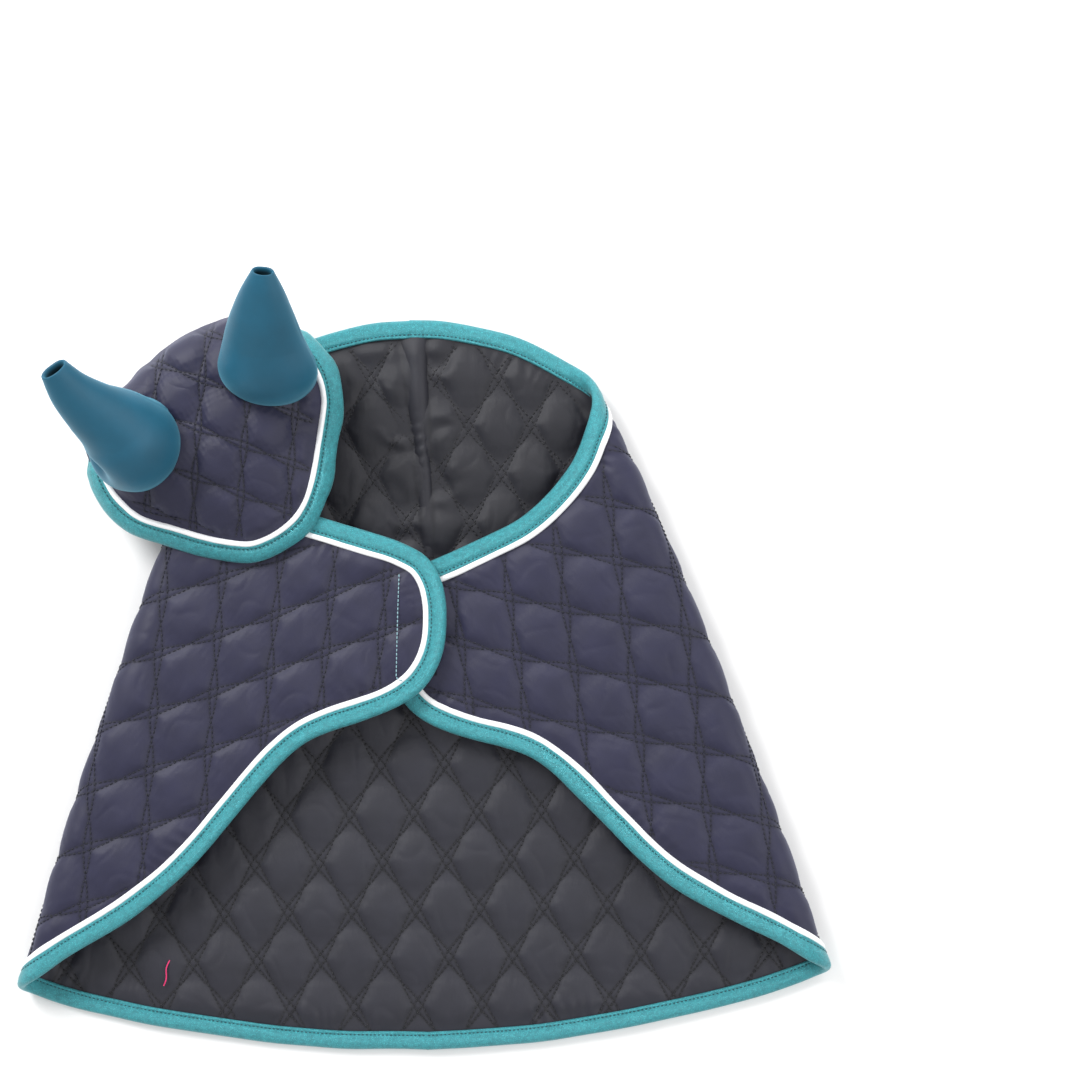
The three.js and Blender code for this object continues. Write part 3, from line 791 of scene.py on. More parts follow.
def add_quilt_stitches(settings):
    sheet = rug_sheet(settings)
    a, b = quilt_lines(sheet, sheet.node, settings.sway * 1000, 24)
    box = near_pattern(*a.T)
    a, b = a[box], b[box]
    made = []
    inset = sheet.inset(a[:, 0], a[:, 1])
    for kind, face, least in (("outer", 1.0, settings.binding_width * 1000 + 5), ("lining", -1.0, 12.5)):
        keep = inset > least
        pa, pb = a[keep], b[keep]
        h = face if kind == "outer" else face - dart_relief(pa[:, 0], pa[:, 1])
        starts = fold_map(pa[:, 0], pa[:, 1], h)
        ends = fold_map(pb[:, 0], pb[:, 1], h)
        ups = unit(fold_map(pa[:, 0], pa[:, 1], h + face * 0.3) - starts)
        for hand, front, mask in parts_of(pa[:, 0], pa[:, 1]):
            name = piece_name(kind + "_quilt_stitches", hand, front)
            finish = material(kind + "_thread")
            obj = thread_mesh(name, starts[mask], ends[mask], ups[mask], QUILT_THREAD, finish)
            hang_on(obj, hand, front)
            made.append(obj)
    return made


def on_front(hand, x, y):
    """Pattern point of a place on a folded front, with the closing shift taken off."""
    side = np.asarray(x, float) * hand
    rel = np.stack([side - NECK_CORNER[0], np.asarray(y, float) - NECK_CORNER[1]], -1)
    shift = closing_shift(hand, rel @ INWARD)
    p = unfold(side, np.asarray(y, float) - shift)
    return p[..., 0] * hand, p[..., 1]


def add_fastener():
    made = []
    for label, hand, face, kind in (("hook_tape", -1, -1, "hook"), ("loop_tape", 1, 1, "loop")):
        xs = np.linspace(-6, 13, 39) if hand < 0 else np.linspace(-8, 11, 39)
        ys = np.linspace(7, 68, 121)
        gx, gy = np.meshgrid(xs, ys, indexing="ij")
        px, py = on_front(hand, gx.ravel(), gy.ravel())
        rng = np.random.default_rng(7 + hand)
        rim = np.minimum(np.minimum(gx - xs[0], xs[-1] - gx), np.minimum(gy - ys[0], ys[-1] - gy)).ravel()
        nap = rng.uniform(0, 0.55, px.shape) * smoothstep(0.6, 1.6, rim)
        h = face * (2.7 + nap + 0.5 * smoothstep(-0.1, 0.5, rim))
        verts = fold_map(px, py, h)
        quads = facing(verts, grid_quads(39, 121), (0, 0, face))
        obj = make_mesh(label, verts, quads, material(kind))
        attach(obj, "left_front" if hand < 0 else "right_front")
        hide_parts("hook_strip" if hand < 0 else "loop_strip")
        made.append(obj)
    path = np.array([(-8.9, 71.4), (-10.2, 50), (-11.3, 28), (-12.3, 5.5), (-7.9, 4.8)])
    line = resample(path, EDGE_STITCH)
    px, py = on_front(-1, line[:, 0], line[:, 1])
    starts, ends, ups = stitch_row(px, py, 3.6, 0.78)
    obj = thread_mesh("tab_stitching_thread", starts, ends, ups, QUILT_THREAD, material("tab_thread"))
    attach(obj, "left_front")
    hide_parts("tab_stitching")
    return made + [obj]


def add_tack():
    """A short loose thread: it bows up off the lining."""
    s = np.linspace(0, 1, 26)
    x = -166.5 + 4.2 * s + 0.7 * np.sin(s * 7)
    y = -187.5 + 17 * s
    lift = 2.6 + 1.6 * np.sin(math.pi * s) + 0.3 * np.sin(s * 11)
    points = fold_map(x, y, -lift - 0.9)
    obj = tube("tack_thread", points, np.full(26, 0.00042), material("tack"))
    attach(obj, "back")
    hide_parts("marking_tack")
    return [obj]


def tube(name, points, radii, mat, sides=8):
    """A round thread along points, closed at both ends."""
    points = np.asarray(points, float)
    tangent = np.gradient(points, axis=0)
    tangent /= np.linalg.norm(tangent, axis=1)[:, None]
    side = np.cross(tangent, (0, 0, 1))
    side /= np.maximum(np.linalg.norm(side, axis=1)[:, None], 1e-9)
    up = np.cross(side, tangent)
    angles = np.linspace(0, math.tau, sides, endpoint=False)
    ring = side[:, None] * np.cos(angles)[None, :, None] + up[:, None] * np.sin(angles)[None, :, None]
    verts = (points[:, None] + ring * np.asarray(radii)[:, None, None]).reshape(-1, 3)
    quads = [tuple(q) for q in grid_quads(len(points), sides, closed=True)]
    first = tuple(range(sides))[::-1]
    last = tuple(range((len(points) - 1) * sides, len(points) * sides))
    return make_mesh(name, verts, quads + [first, last], mat)


# Bonnet

RIM_RIGHT = [(0.25, -0.965), (0.49, -0.82), (0.73, -0.6), (0.93, -0.38), (1.0, -0.16)]
RIM_REAR = [(0.93, 0.3), (0.76, 0.66), (0.42, 0.93)]
TRIM_END = 15.0  # behind this the cap is folded under and shows no trim
REAR_SLACK = 2.1  # the turn, from the cap's right, where its folded rear is drawn in


def bonnet_rim():
    right = [(x * BONNET_HALF, y * BONNET_FRONT) for x, y in RIM_RIGHT]
    right += [(x * BONNET_HALF, y * BONNET_REAR) for x, y in RIM_REAR]
    half = spline([(-22, -98), (0, -BONNET_FRONT)] + right + [(0, BONNET_REAR), (-36, 44.6)], 2.0)
    start = int(np.argmin(np.abs(half[:24, 0])))
    stop = len(half) - 24 + int(np.argmin(np.abs(half[-24:, 0])))
    half = half[start : stop + 1]
    half[0, 0] = half[-1, 0] = 0
    return np.vstack([half, (half[::-1] * (-1, 1))[1:-1]])


def rim_reach(angle, rim):
    """Distance from the middle to the rim at an angle."""
    at = np.arctan2(rim[:, 1], rim[:, 0])
    order = np.argsort(at)
    reach = np.linalg.norm(rim, axis=1)
    return np.interp(angle, at[order], reach[order], period=math.tau)


def dome_height(x, y, rim):
    angle = np.arctan2(y, x)
    share = np.hypot(x, y) / rim_reach(angle, rim)
    rearward = smoothstep(-0.5 * BONNET_FRONT, BONNET_REAR, y)
    power = 2 + 3 * rearward
    return BONNET_HEIGHT * (1 - np.clip(share, 0, 1.0) ** power)


def bonnet_map(x, y, z):
    """Carries the bonnet's own millimetres to the rug, in metres."""
    c, s = math.cos(BONNET_TURN), math.sin(BONNET_TURN)
    slack = np.exp(-(((np.arctan2(y, x) - REAR_SLACK) / 0.5) ** 2)) * smoothstep(20, 80, np.hypot(x, y))
    draw = 1 - slack * (0.13 + 0.02 * np.sin(np.arctan2(y, x) * 15))
    x, y = x * draw, y * draw
    wx = BONNET_PLACE[0] + c * x - s * y
    wy = BONNET_PLACE[1] + s * x + c * y
    rel = np.stack([-wx - NECK_CORNER[0], wy - NECK_CORNER[1]], -1)
    d = rel @ INWARD
    wz = HEIGHT + BONNET_GAP + FRONT_SLOPE * (d - HINGE_INSET) + z
    return np.stack([wx, wy, wz], -1) / 1000


def dome_point(x, y, h, rim):
    step = 0.5
    z = dome_height(x, y, rim)
    dx = (dome_height(x + step, y, rim) - dome_height(x - step, y, rim)) / (2 * step)
    dy = (dome_height(x, y + step, rim) - dome_height(x, y - step, rim)) / (2 * step)
    size = np.sqrt(1 + dx * dx + dy * dy)
    return bonnet_map(x - dx / size * h, y - dy / size * h, z + h / size)


def bonnet_quilt(settings, x, y, sheet):
    """Quilting steps on the cap and the gap to its nearest stitch line."""
    ij = (np.stack([x, y], -1) - BONNET_QUILT) @ np.linalg.inv(np.stack([sheet.e1, sheet.e2]))
    i, j = ij[..., 0], ij[..., 1]
    return i, j, quilt_gap(i, j, bonnet_sway(settings), sheet.rise)


def bonnet_sheet(settings):
    """The cap's quilting: the rug's, drawn up a little by the cap's shaping."""
    return Sheet(settings.cell_width * 900, settings.cell_height * 780)


def bonnet_sway(settings):
    return settings.sway * 900


def bonnet_swell(x, y):
    """Slow swells of the soft cap."""
    return 1.1 * waves(x, y, 60, 75)


def add_bonnet_cap(settings):
    rim = bonnet_rim()
    sheet = bonnet_sheet(settings)
    turns, rings = 520, 120
    angle = np.linspace(-math.pi, math.pi, turns, endpoint=False)
    ga, gs = np.meshgrid(angle, np.linspace(0.004, 1, rings), indexing="ij")
    ga, gs = ga.ravel(), gs.ravel()
    reach = rim_reach(ga, rim)
    tucked = smoothstep(TRIM_END - 4, TRIM_END + 8, np.sin(ga) * reach)
    share = gs * (0.955 + 0.045 * tucked)
    x = np.cos(ga) * share * reach
    y = np.sin(ga) * share * reach
    i, j, gap = bonnet_quilt(settings, x, y, sheet)
    edge = reach * (1 - share)
    bare = edge + 14 * tucked
    made = []
    for kind, face, base in (("outer", 1.0, CAP_TOP), ("lining", -1.0, CAP_INSIDE)):
        soft = smoothstep(11, 23, bare)
        relief = settings.puff * 1000 * puffed_cloth(settings).at(i + 2, j + 6) * pillow(gap, SHOULDER)
        relief = (relief * (1 + 0.2 * waves(x, y, 50, 71)) + 0.6 * creases(i, j, gap, x, y, 73)) * soft
        beat = np.sin(np.arctan2(y, x) * 40 + 5 * waves(x, y, 60, 77))
        gathers = beat * np.exp(-(((bare - 20) / 5) ** 2)) * 0.35 * (1 - tucked)
        h = base + face * (relief + gathers) + bonnet_swell(x, y) * soft
        verts = dome_point(x, y, h, rim)
        quads = facing(verts, grid_quads(turns, rings, wrapped=True), (0, 0, face))
        # painted shade along the stitch lines of the cap
        seam = seam_painted_shade(gap) * soft
        obj = make_mesh("bonnet_cap_" + kind, verts, quads, material(kind), seam=seam)
        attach(obj, "bonnet")
        nodes = ["bonnet_outer", "bonnet_wadding"] if kind == "outer" else ["bonnet_lining"]
        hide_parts(*nodes)
        made.append(obj)
    made.append(bonnet_stitches(settings, rim, sheet))
    return made


def dome_threads(name, a, b, h, radius, finish, rim):
    """Stitches from a to b on the dome, at height h."""
    starts = dome_point(a[:, 0], a[:, 1], h, rim)
    ends = dome_point(b[:, 0], b[:, 1], h, rim)
    ups = unit(dome_point(a[:, 0], a[:, 1], h + 0.3, rim) - starts)
    obj = thread_mesh(name, starts, ends, ups, radius, material(finish))
    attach(obj, "bonnet")
    return obj


def bonnet_stitches(settings, rim, sheet):
    a, b = quilt_lines(sheet, BONNET_QUILT, bonnet_sway(settings), 6)
    room = rim_reach(np.arctan2(a[:, 1], a[:, 0]), rim) - np.hypot(a[:, 0], a[:, 1])
    keep = room > 17 - 12 * smoothstep(TRIM_END, TRIM_END + 6, a[:, 1])
    a, b = a[keep], b[keep]
    h = bonnet_swell(a[:, 0], a[:, 1]) - 0.55
    obj = dome_threads("bonnet_quilt_stitches", a, b, h, QUILT_THREAD, "outer_thread", rim)
    return obj


def bonnet_front_edge():
    """The part of the cap's edge that carries trim, and the way in from it."""
    rim = bonnet_rim()
    step = np.roll(rim, -1, axis=0) - np.roll(rim, 1, axis=0)
    step /= np.linalg.norm(step, axis=1)[:, None]
    into = np.stack([-step[:, 1], step[:, 0]], 1)
    if into[0] @ np.array((0, 1)) < 0:
        into = -into
    shown = np.flatnonzero(rim[:, 1] < TRIM_END)
    turn = int(np.argmax(np.diff(shown))) + 1
    order = np.concatenate([shown[turn:], shown[:turn]])
    return rim, rim[order], into[order]


def add_bonnet_trims(settings):
    rim, line, into = bonnet_front_edge()
    wide = settings.binding_width * 1000
    half = [(wide, 0.0), (wide - 0.25, 1.1), (wide - 0.9, 1.6), (wide - 1.6, 1.45), (wide - 2.2, 1.2)]
    half += [(wide - 2.8, 1.5), (wide - 3.9, 2.0), (wide * 0.45, 2.2), (wide * 0.2, 1.8), (0.6, 0.6)]
    under = [(0.0, -1.5), (0.6, -4.2), (wide * 0.3, -6.2), (wide * 0.7, -6.4), (wide, -5.8)]
    tape = half + under
    made = [bonnet_sweep("bonnet_binding_tape", "binding", tape, rim, line, into, "bonnet_binding", 81)]
    start, pipe = wide - 0.6, settings.piping_width * 780
    angles = np.linspace(0, math.pi, 11)
    profile = [(start + pipe * (1 - math.cos(a)) / 2, -0.6 + 2.5 * math.sin(a) ** 0.7) for a in angles]
    made.append(bonnet_sweep("bonnet_piping_cord", "piping", profile, rim, line, into, "bonnet_piping", 85))
    row = resample(line + into * (wide - STITCH_INSET), EDGE_STITCH)
    a, b = row[:-1], row[:-1] + np.diff(row, axis=0) * EDGE_COVER
    obj = dome_threads("bonnet_binding_stitch", a, b, 1.6, EDGE_THREAD, "binding_thread", rim)
    return made + [obj]


def bonnet_sweep(name, kind, profile, rim, line, into, node, seed):
    e, h = np.array(profile, float).T
    run = np.arange(len(line))[:, None] * 2.0
    ee = e[None, :] + 0.4 * waves(run, 0 * e[None, :], 42, seed)
    hh = h[None, :] * (1 + 0.12 * waves(run, e[None, :] * 2, 14, seed + 1))
    # both ends dive under the folded rear of the cap
    ends = np.minimum(np.arange(len(line)), np.arange(len(line))[::-1])[:, None]
    hh = hh - 3.0 * (1 - smoothstep(0, 5, ends))
    x = line[:, 0, None] + into[:, 0, None] * ee
    y = line[:, 1, None] + into[:, 1, None] * ee
    verts = dome_point(x.ravel(), y.ravel(), hh.ravel(), rim)
    quads = grid_quads(len(line), len(e))
    upper = quads[quads[:, 0] % len(e) < 6]
    if facing(verts, upper, (0, 0, 1))[0, 0] != upper[0, 0]:
        quads = quads[:, ::-1]
    obj = make_mesh(name, verts, quads, material(kind))
    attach(obj, "bonnet")
    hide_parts(node)
    return obj


# Each ear: middle line, half width at each point of it, the fold (turn, share, depth) pressed into it, and
# how deep its foot is for its width.
EARS = {
    "left": {
        "line": [
            (-169, 154.5, 54), (-170, 157.5, 68), (-177, 167, 84),
            (-188.5, 176.5, 100), (-198.8, 187, 113), (-206.5, 199, 125),
        ],
        "half": [28.5, 30, 24.4, 18.2, 13.4, 8.8],
        "fold": (3.3, 0.2, 0.42),
        "base": 0.94,
        "seed": 91,
    },
    "right": {
        "line": [
            (-86.2, 199.5, 54), (-85.8, 202.5, 70), (-85.2, 218, 89),
            (-83.6, 232, 106), (-82, 243.5, 119), (-80.5, 254, 129),
        ],
        "half": [29.4, 30.4, 24.4, 18.6, 13.2, 6.8],
        "fold": (1.9, 0.8, 0.05),
        "base": 0.74,
        "seed": 95,
    },
}


def ear_frame(line, share):
    """Across and depth directions along an ear: level at its base, square to the ear further up."""
    tangent = np.gradient(line, axis=0)
    tangent /= np.linalg.norm(tangent, axis=1)[:, None]
    lean = line[-1] - line[0]
    side = np.cross(lean, (0, 0, 1.0))
    side /= np.linalg.norm(side)
    lying = smoothstep(0.0, 0.3, share)[:, None]
    axis = (1 - lying) * np.array((0, 0, 1.0)) + lying * tangent
    axis /= np.linalg.norm(axis, axis=1)[:, None]
    across = side - (axis @ side)[:, None] * axis
    across /= np.linalg.norm(across, axis=1)[:, None]
    return across, np.cross(across, axis)


def cap_height(points):
    """Height of the cap's outer cloth under each point, in millimetres."""
    rim = bonnet_rim()
    turn, share = np.meshgrid(np.linspace(-math.pi, math.pi, 180), np.linspace(0, 0.95, 60), indexing="ij")
    reach = rim_reach(turn.ravel(), rim) * share.ravel()
    cap = dome_point(np.cos(turn.ravel()) * reach, np.sin(turn.ravel()) * reach, CAP_TOP, rim) * 1000
    apart = np.linalg.norm(points[:, None, :2] - cap[None, :, :2], axis=2)
    return cap[np.argmin(apart, axis=1), 2]


EAR_TURNS = 120
EAR_TIP_FLAT = 0.7


def ear_widths(ear, count):
    """Half width at even steps along an ear."""
    steps = np.linalg.norm(np.diff(np.array(ear["line"], float), axis=0), axis=1)
    key = np.concatenate([[0], np.cumsum(steps)]) / steps.sum() * 100
    half = spline(list(zip(key, ear["half"])), 0.5)
    return np.interp(np.linspace(0, 100, count), half[:, 0], half[:, 1])


def ear_wall(ear, line):
    """Rings of points up the ear: an oval tube with a pressed fold, small dents and a flatter front."""
    angle = np.linspace(0, math.tau, EAR_TURNS, endpoint=False)
    share = np.linspace(0, 1, len(line))
    across, deep = ear_frame(line, share)
    up = share[:, None]
    flat = ear["base"] + (EAR_TIP_FLAT - ear["base"]) * smoothstep(0.1, 0.7, up)
    turn, at, depth = ear["fold"]
    away = np.angle(np.exp(1j * (angle - turn)))[None, :]
    crease = depth * np.exp(-((away / 0.5) ** 2) - ((up - at) / 0.08) ** 2)
    dent = 0.022 * waves(up * 90, angle[None, :] * 14, 60, ear["seed"])
    facing_front = np.exp(-(((angle - math.pi * 1.5) / 0.7) ** 2))[None, :]
    front = 0.16 * facing_front * smoothstep(0.55, 1.0, up)
    grow = ear_widths(ear, len(line))[:, None] * (1 + dent - crease - front)
    wide = across[:, None] * (np.cos(angle)[None, :] * grow)[..., None]
    return line[:, None] + wide + deep[:, None] * (np.sin(angle)[None, :] * grow * flat)[..., None]


def ear_mouth(line, tip):
    """The tip is cut square: the wall turns over its edge and runs down inside."""
    tangent = unit(line[-1] - line[-2])
    return [
        line[-1] + (tip - line[-1]) * keep + tangent * step
        for step, keep in ((0.5, 0.93), (-0.6, 0.8), (-3.0, 0.72), (-9.0, 0.6))
    ]


def ear_foot(ring):
    """The sewn foot runs down to the cap all round, and a little into its padding."""
    foot = ring.copy()
    foot[0, :, 2] = np.minimum(cap_height(foot[0]) - 0.8, foot[0, :, 2] - 0.5)
    return [foot, (foot + ring) / 2]


def add_ears():
    made = []
    for hand, ear in EARS.items():
        line = spline(ear["line"], 1.2)
        wall = ear_wall(ear, line)
        rows = np.concatenate([*ear_foot(wall[:1]), wall, *ear_mouth(line, wall[-1:])])
        quads = [tuple(q) for q in grid_quads(len(rows), EAR_TURNS, closed=True)]
        quads.append(tuple(range((len(rows) - 1) * EAR_TURNS, len(rows) * EAR_TURNS)))
        # painted shade: the rows that run down inside the cut tip are darkened, standing in for the shade
        # inside the ear
        dark = np.zeros((len(rows), EAR_TURNS))
        dark[-2:] = 1.0
        verts = rows.reshape(-1, 3) / 1000
        obj = make_mesh(f"{hand}_ear_sleeve", verts, quads, material("ear"), seam=dark.ravel())
        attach(obj, "bonnet")
        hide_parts(f"{hand}_ear")
        made.append(obj)
    return made


# Materials

MADE = {}


def settings_now():
    return bpy.context.scene.turnout_rug


def material(kind):
    if kind not in MADE:
        MADE[kind] = RECIPES[kind](kind)
    return MADE[kind]


def new_material(name):
    mat = bpy.data.materials.new(name)
    mat.use_nodes = True
    shader = mat.node_tree.nodes["Principled BSDF"]
    return mat, mat.node_tree, shader


def node(tree, kind, values=None, **options):
    made = tree.nodes.new(kind)
    for key, value in options.items():
        setattr(made, key, value)
    for key, value in (values or {}).items():
        made.inputs[key].default_value = value
    return made


def object_coords(tree, scale=(1, 1, 1), turn=0.0):
    coords = node(tree, "ShaderNodeTexCoord")
    mapping = node(tree, "ShaderNodeMapping")
    mapping.inputs["Scale"].default_value = scale
    mapping.inputs["Rotation"].default_value = (0, 0, turn)
    tree.links.new(coords.outputs["Object"], mapping.inputs["Vector"])
    return mapping.outputs["Vector"]


def two_tone(tree, shader, vector, low, high, scale, detail=6.0):
    noise = node(tree, "ShaderNodeTexNoise", {"Scale": scale, "Detail": detail, "Roughness": 0.6})
    ramp = node(tree, "ShaderNodeValToRGB")
    ramp.color_ramp.elements[0].color = (*low, 1)
    ramp.color_ramp.elements[1].color = (*high, 1)
    ramp.color_ramp.elements[0].position = 0.3
    ramp.color_ramp.elements[1].position = 0.7
    tree.links.new(vector, noise.inputs["Vector"])
    tree.links.new(noise.outputs["Fac"], ramp.inputs["Fac"])
    tree.links.new(ramp.outputs["Color"], shader.inputs["Base Color"])
    return ramp


def weave(tree, shader, vector, size, strength, soft=0.0002):
    """A fine woven relief of crossing threads with some unevenness."""
    heights = []
    for direction in ("X", "Y"):
        values = {"Scale": 1 / size, "Distortion": 1.2, "Detail": 2.0}
        wave = node(tree, "ShaderNodeTexWave", values, bands_direction=direction)
        tree.links.new(vector, wave.inputs["Vector"])
        heights.append(wave.outputs["Fac"])
    both = node(tree, "ShaderNodeMath", operation="ADD")
    tree.links.new(heights[0], both.inputs[0])
    tree.links.new(heights[1], both.inputs[1])
    bump = node(tree, "ShaderNodeBump", {"Strength": strength, "Distance": soft})
    tree.links.new(both.outputs[0], bump.inputs["Height"])
    rough = node(tree, "ShaderNodeTexNoise", {"Scale": 900.0, "Detail": 3.0})
    tree.links.new(vector, rough.inputs["Vector"])
    second = node(tree, "ShaderNodeBump", {"Strength": strength * 0.7, "Distance": soft})
    tree.links.new(rough.outputs["Fac"], second.inputs["Height"])
    tree.links.new(bump.outputs["Normal"], second.inputs["Normal"])
    tree.links.new(second.outputs["Normal"], shader.inputs["Normal"])
    return second


def shade(colour, factor):
    return tuple(min(1.0, c * factor) for c in colour)


def darken_seams(tree, shader, ramp, colour, depth):
    """Lets the dips along the stitch lines go darker, as the shine never reaches them."""
    seam = node(tree, "ShaderNodeAttribute", attribute_name="seam")
    amount = node(tree, "ShaderNodeMath", operation="MULTIPLY")
    amount.inputs[1].default_value = depth
    mix = node(tree, "ShaderNodeMix", data_type="RGBA")
    mix.inputs[7].default_value = (*shade(colour, 0.12), 1)
    tree.links.new(seam.outputs["Fac"], amount.inputs[0])
    tree.links.new(amount.outputs[0], mix.inputs[0])
    tree.links.new(ramp.outputs["Color"], mix.inputs[6])
    tree.links.new(mix.outputs[2], shader.inputs["Base Color"])


def cloth_material(
    name, colour, roughness, sheen, sheen_tint, spread=0.12, grain=0.0022, strength=0.25, scale=60.0, seam=0.0
):
    mat, tree, shader = new_material(name)
    vector = object_coords(tree)
    ramp = two_tone(tree, shader, vector, shade(colour, 1 - spread), shade(colour, 1 + spread), scale)
    if seam:
        darken_seams(tree, shader, ramp, colour, seam)
    weave(tree, shader, vector, grain, strength)
    shader.inputs["Roughness"].default_value = roughness
    shader.inputs["Sheen Weight"].default_value = sheen
    shader.inputs["Sheen Roughness"].default_value = 0.45
    shader.inputs["Sheen Tint"].default_value = (*sheen_tint, 1)
    shader.inputs["Specular IOR Level"].default_value = 0.4
    return mat


def outer_material(name):
    colour = tuple(settings_now().outer_colour)
    return cloth_material(name, colour, 0.53, 0.16, (0.5, 0.55, 0.9), grain=0.0009, strength=0.15, seam=0.5)


def lining_material(name):
    colour = tuple(settings_now().lining_colour)
    return cloth_material(name, colour, 0.52, 0.12, (0.6, 0.58, 0.7), grain=0.0009, strength=0.18, seam=0.62)


def binding_material(name):
    """Velvety ribbed tape with a fine metallic thread in it, whose glints are painted into the colour as
    bright specks.
    """
    colour = tuple(settings_now().binding_colour)
    mat, tree, shader = new_material(name)
    vector = object_coords(tree)
    ramp = two_tone(tree, shader, vector, shade(colour, 0.78), shade(colour, 1.25), 420.0, 6.0)
    # painted highlight: bright specks in the base colour stand in for the glints off the metallic thread
    glints = node(tree, "ShaderNodeTexVoronoi", {"Scale": 1300.0})
    tree.links.new(vector, glints.inputs["Vector"])
    pick = node(tree, "ShaderNodeMath", operation="LESS_THAN")
    pick.inputs[1].default_value = 0.25
    tree.links.new(glints.outputs["Distance"], pick.inputs[0])
    mix = node(tree, "ShaderNodeMix", data_type="RGBA")
    mix.inputs[7].default_value = (*shade(colour, 2.0), 1)
    tree.links.new(pick.outputs[0], mix.inputs[0])
    tree.links.new(ramp.outputs["Color"], mix.inputs[6])
    tree.links.new(mix.outputs[2], shader.inputs["Base Color"])
    weave(tree, shader, vector, 0.0016, 0.5, 0.0003)
    shader.inputs["Roughness"].default_value = 0.34
    shader.inputs["Metallic"].default_value = 0.25
    shader.inputs["Sheen Weight"].default_value = 0.4
    shader.inputs["Sheen Roughness"].default_value = 0.35
    shader.inputs["Sheen Tint"].default_value = (0.5, 0.95, 1.0, 1)
    return mat


def piping_material(name):
    return cloth_material(name, (0.88, 0.89, 0.9), 0.5, 0.2, (1, 1, 1), 0.03, 0.0012, 0.2, 200.0)


def ear_material(name):
    colour = tuple(settings_now().ear_colour)
    return cloth_material(name, colour, 0.5, 0.35, (0.3, 0.75, 0.95), 0.1, 0.0007, 0.1, 45.0, seam=0.95)


def thread_material(colour, roughness=0.5):
    def make(name):
        return cloth_material(name, colour, roughness, 0.1, (1, 1, 1), 0.1, 0.0006, 0.3, 500.0)

    return make


RECIPES = {
    "outer": outer_material,
    "lining": lining_material,
    "binding": binding_material,
    "piping": piping_material,
    "ear": ear_material,
    "outer_thread": thread_material((0.008, 0.009, 0.018)),
    "lining_thread": thread_material((0.008, 0.008, 0.011)),
    "binding_thread": thread_material((0.004, 0.06, 0.075)),
    "tab_thread": thread_material((0.25, 0.42, 0.47)),
    "tack": thread_material((0.75, 0.03, 0.16)),
    "hook": thread_material((0.012, 0.012, 0.02), 0.7),
    "loop": thread_material((0.02, 0.021, 0.035), 0.9),
}


def floor_material(name):
    mat, tree, shader = new_material(name)
    vector = object_coords(tree)
    two_tone(tree, shader, vector, (0.86, 0.86, 0.86), (0.9, 0.9, 0.9), 3.0)
    shader.inputs["Roughness"].default_value = 0.8
    return mat


CAMERA_REACH = 1.7
CAMERA_LIFT = 0.03
VIEW_WIDTH = 0.6795  # of the ground, across the picture
VIEW_TURN = -1.358  # degrees


def add_floor():
    mesh = bpy.data.meshes.new("floor")
    half = 6.0
    corners = [(-half, -half, 0), (half, -half, 0), (half, half, 0), (-half, half, 0)]
    mesh.from_pydata(corners, [], [(0, 1, 2, 3)])
    floor = bpy.data.objects.new("floor", mesh)
    floor.location.z = -0.0005
    bpy.context.scene.collection.objects.link(floor)
    mesh.materials.append(floor_material("floor"))
    return floor


def add_lights():
    lights = [
        ("key", (-1.0, 1.2, 1.3), 0.8, 34.0),
        ("fill", (1.4, -0.2, 1.4), 1.6, 14.0),
        ("rim", (0.3, 1.7, 0.8), 1.0, 12.0),
    ]
    made = []
    for name, place, size, power in lights:
        light = bpy.data.lights.new(name, "AREA")
        light.shape = "DISK"
        light.size = size
        light.energy = power
        obj = bpy.data.objects.new(name, light)
        obj.location = place
        aim = Vector((0, 0, 0)) - Vector(place)
        obj.rotation_euler = aim.to_track_quat("-Z", "Y").to_euler()
        bpy.context.scene.collection.objects.link(obj)
        made.append(obj)
    return made


def light_world():
    world = bpy.data.worlds.new("studio")
    bpy.context.scene.world = world
    world.use_nodes = True
    world.node_tree.nodes["Background"].inputs["Color"].default_value = (1, 1, 1, 1)
    world.node_tree.nodes["Background"].inputs["Strength"].default_value = 0.75


def add_camera():
    """Looks straight down, turned a little about the vertical."""
    camera = bpy.data.cameras.new("camera")
    camera.sensor_width = 36
    camera.lens = camera.sensor_width * CAMERA_REACH / VIEW_WIDTH
    view = bpy.data.objects.new("camera", camera)
    turn = Matrix.Rotation(math.radians(VIEW_TURN), 4, "Z")
    view.matrix_world = Matrix.Translation((0.080, 0.0908, CAMERA_REACH + CAMERA_LIFT)) @ turn
    bpy.context.scene.collection.objects.link(view)
    bpy.context.scene.camera = view
    bpy.context.scene.view_settings.view_transform = "Standard"
    return view


def add_stage():
    made = [add_floor(), *add_lights()]
    light_world()
    made.append(add_camera())
    return made


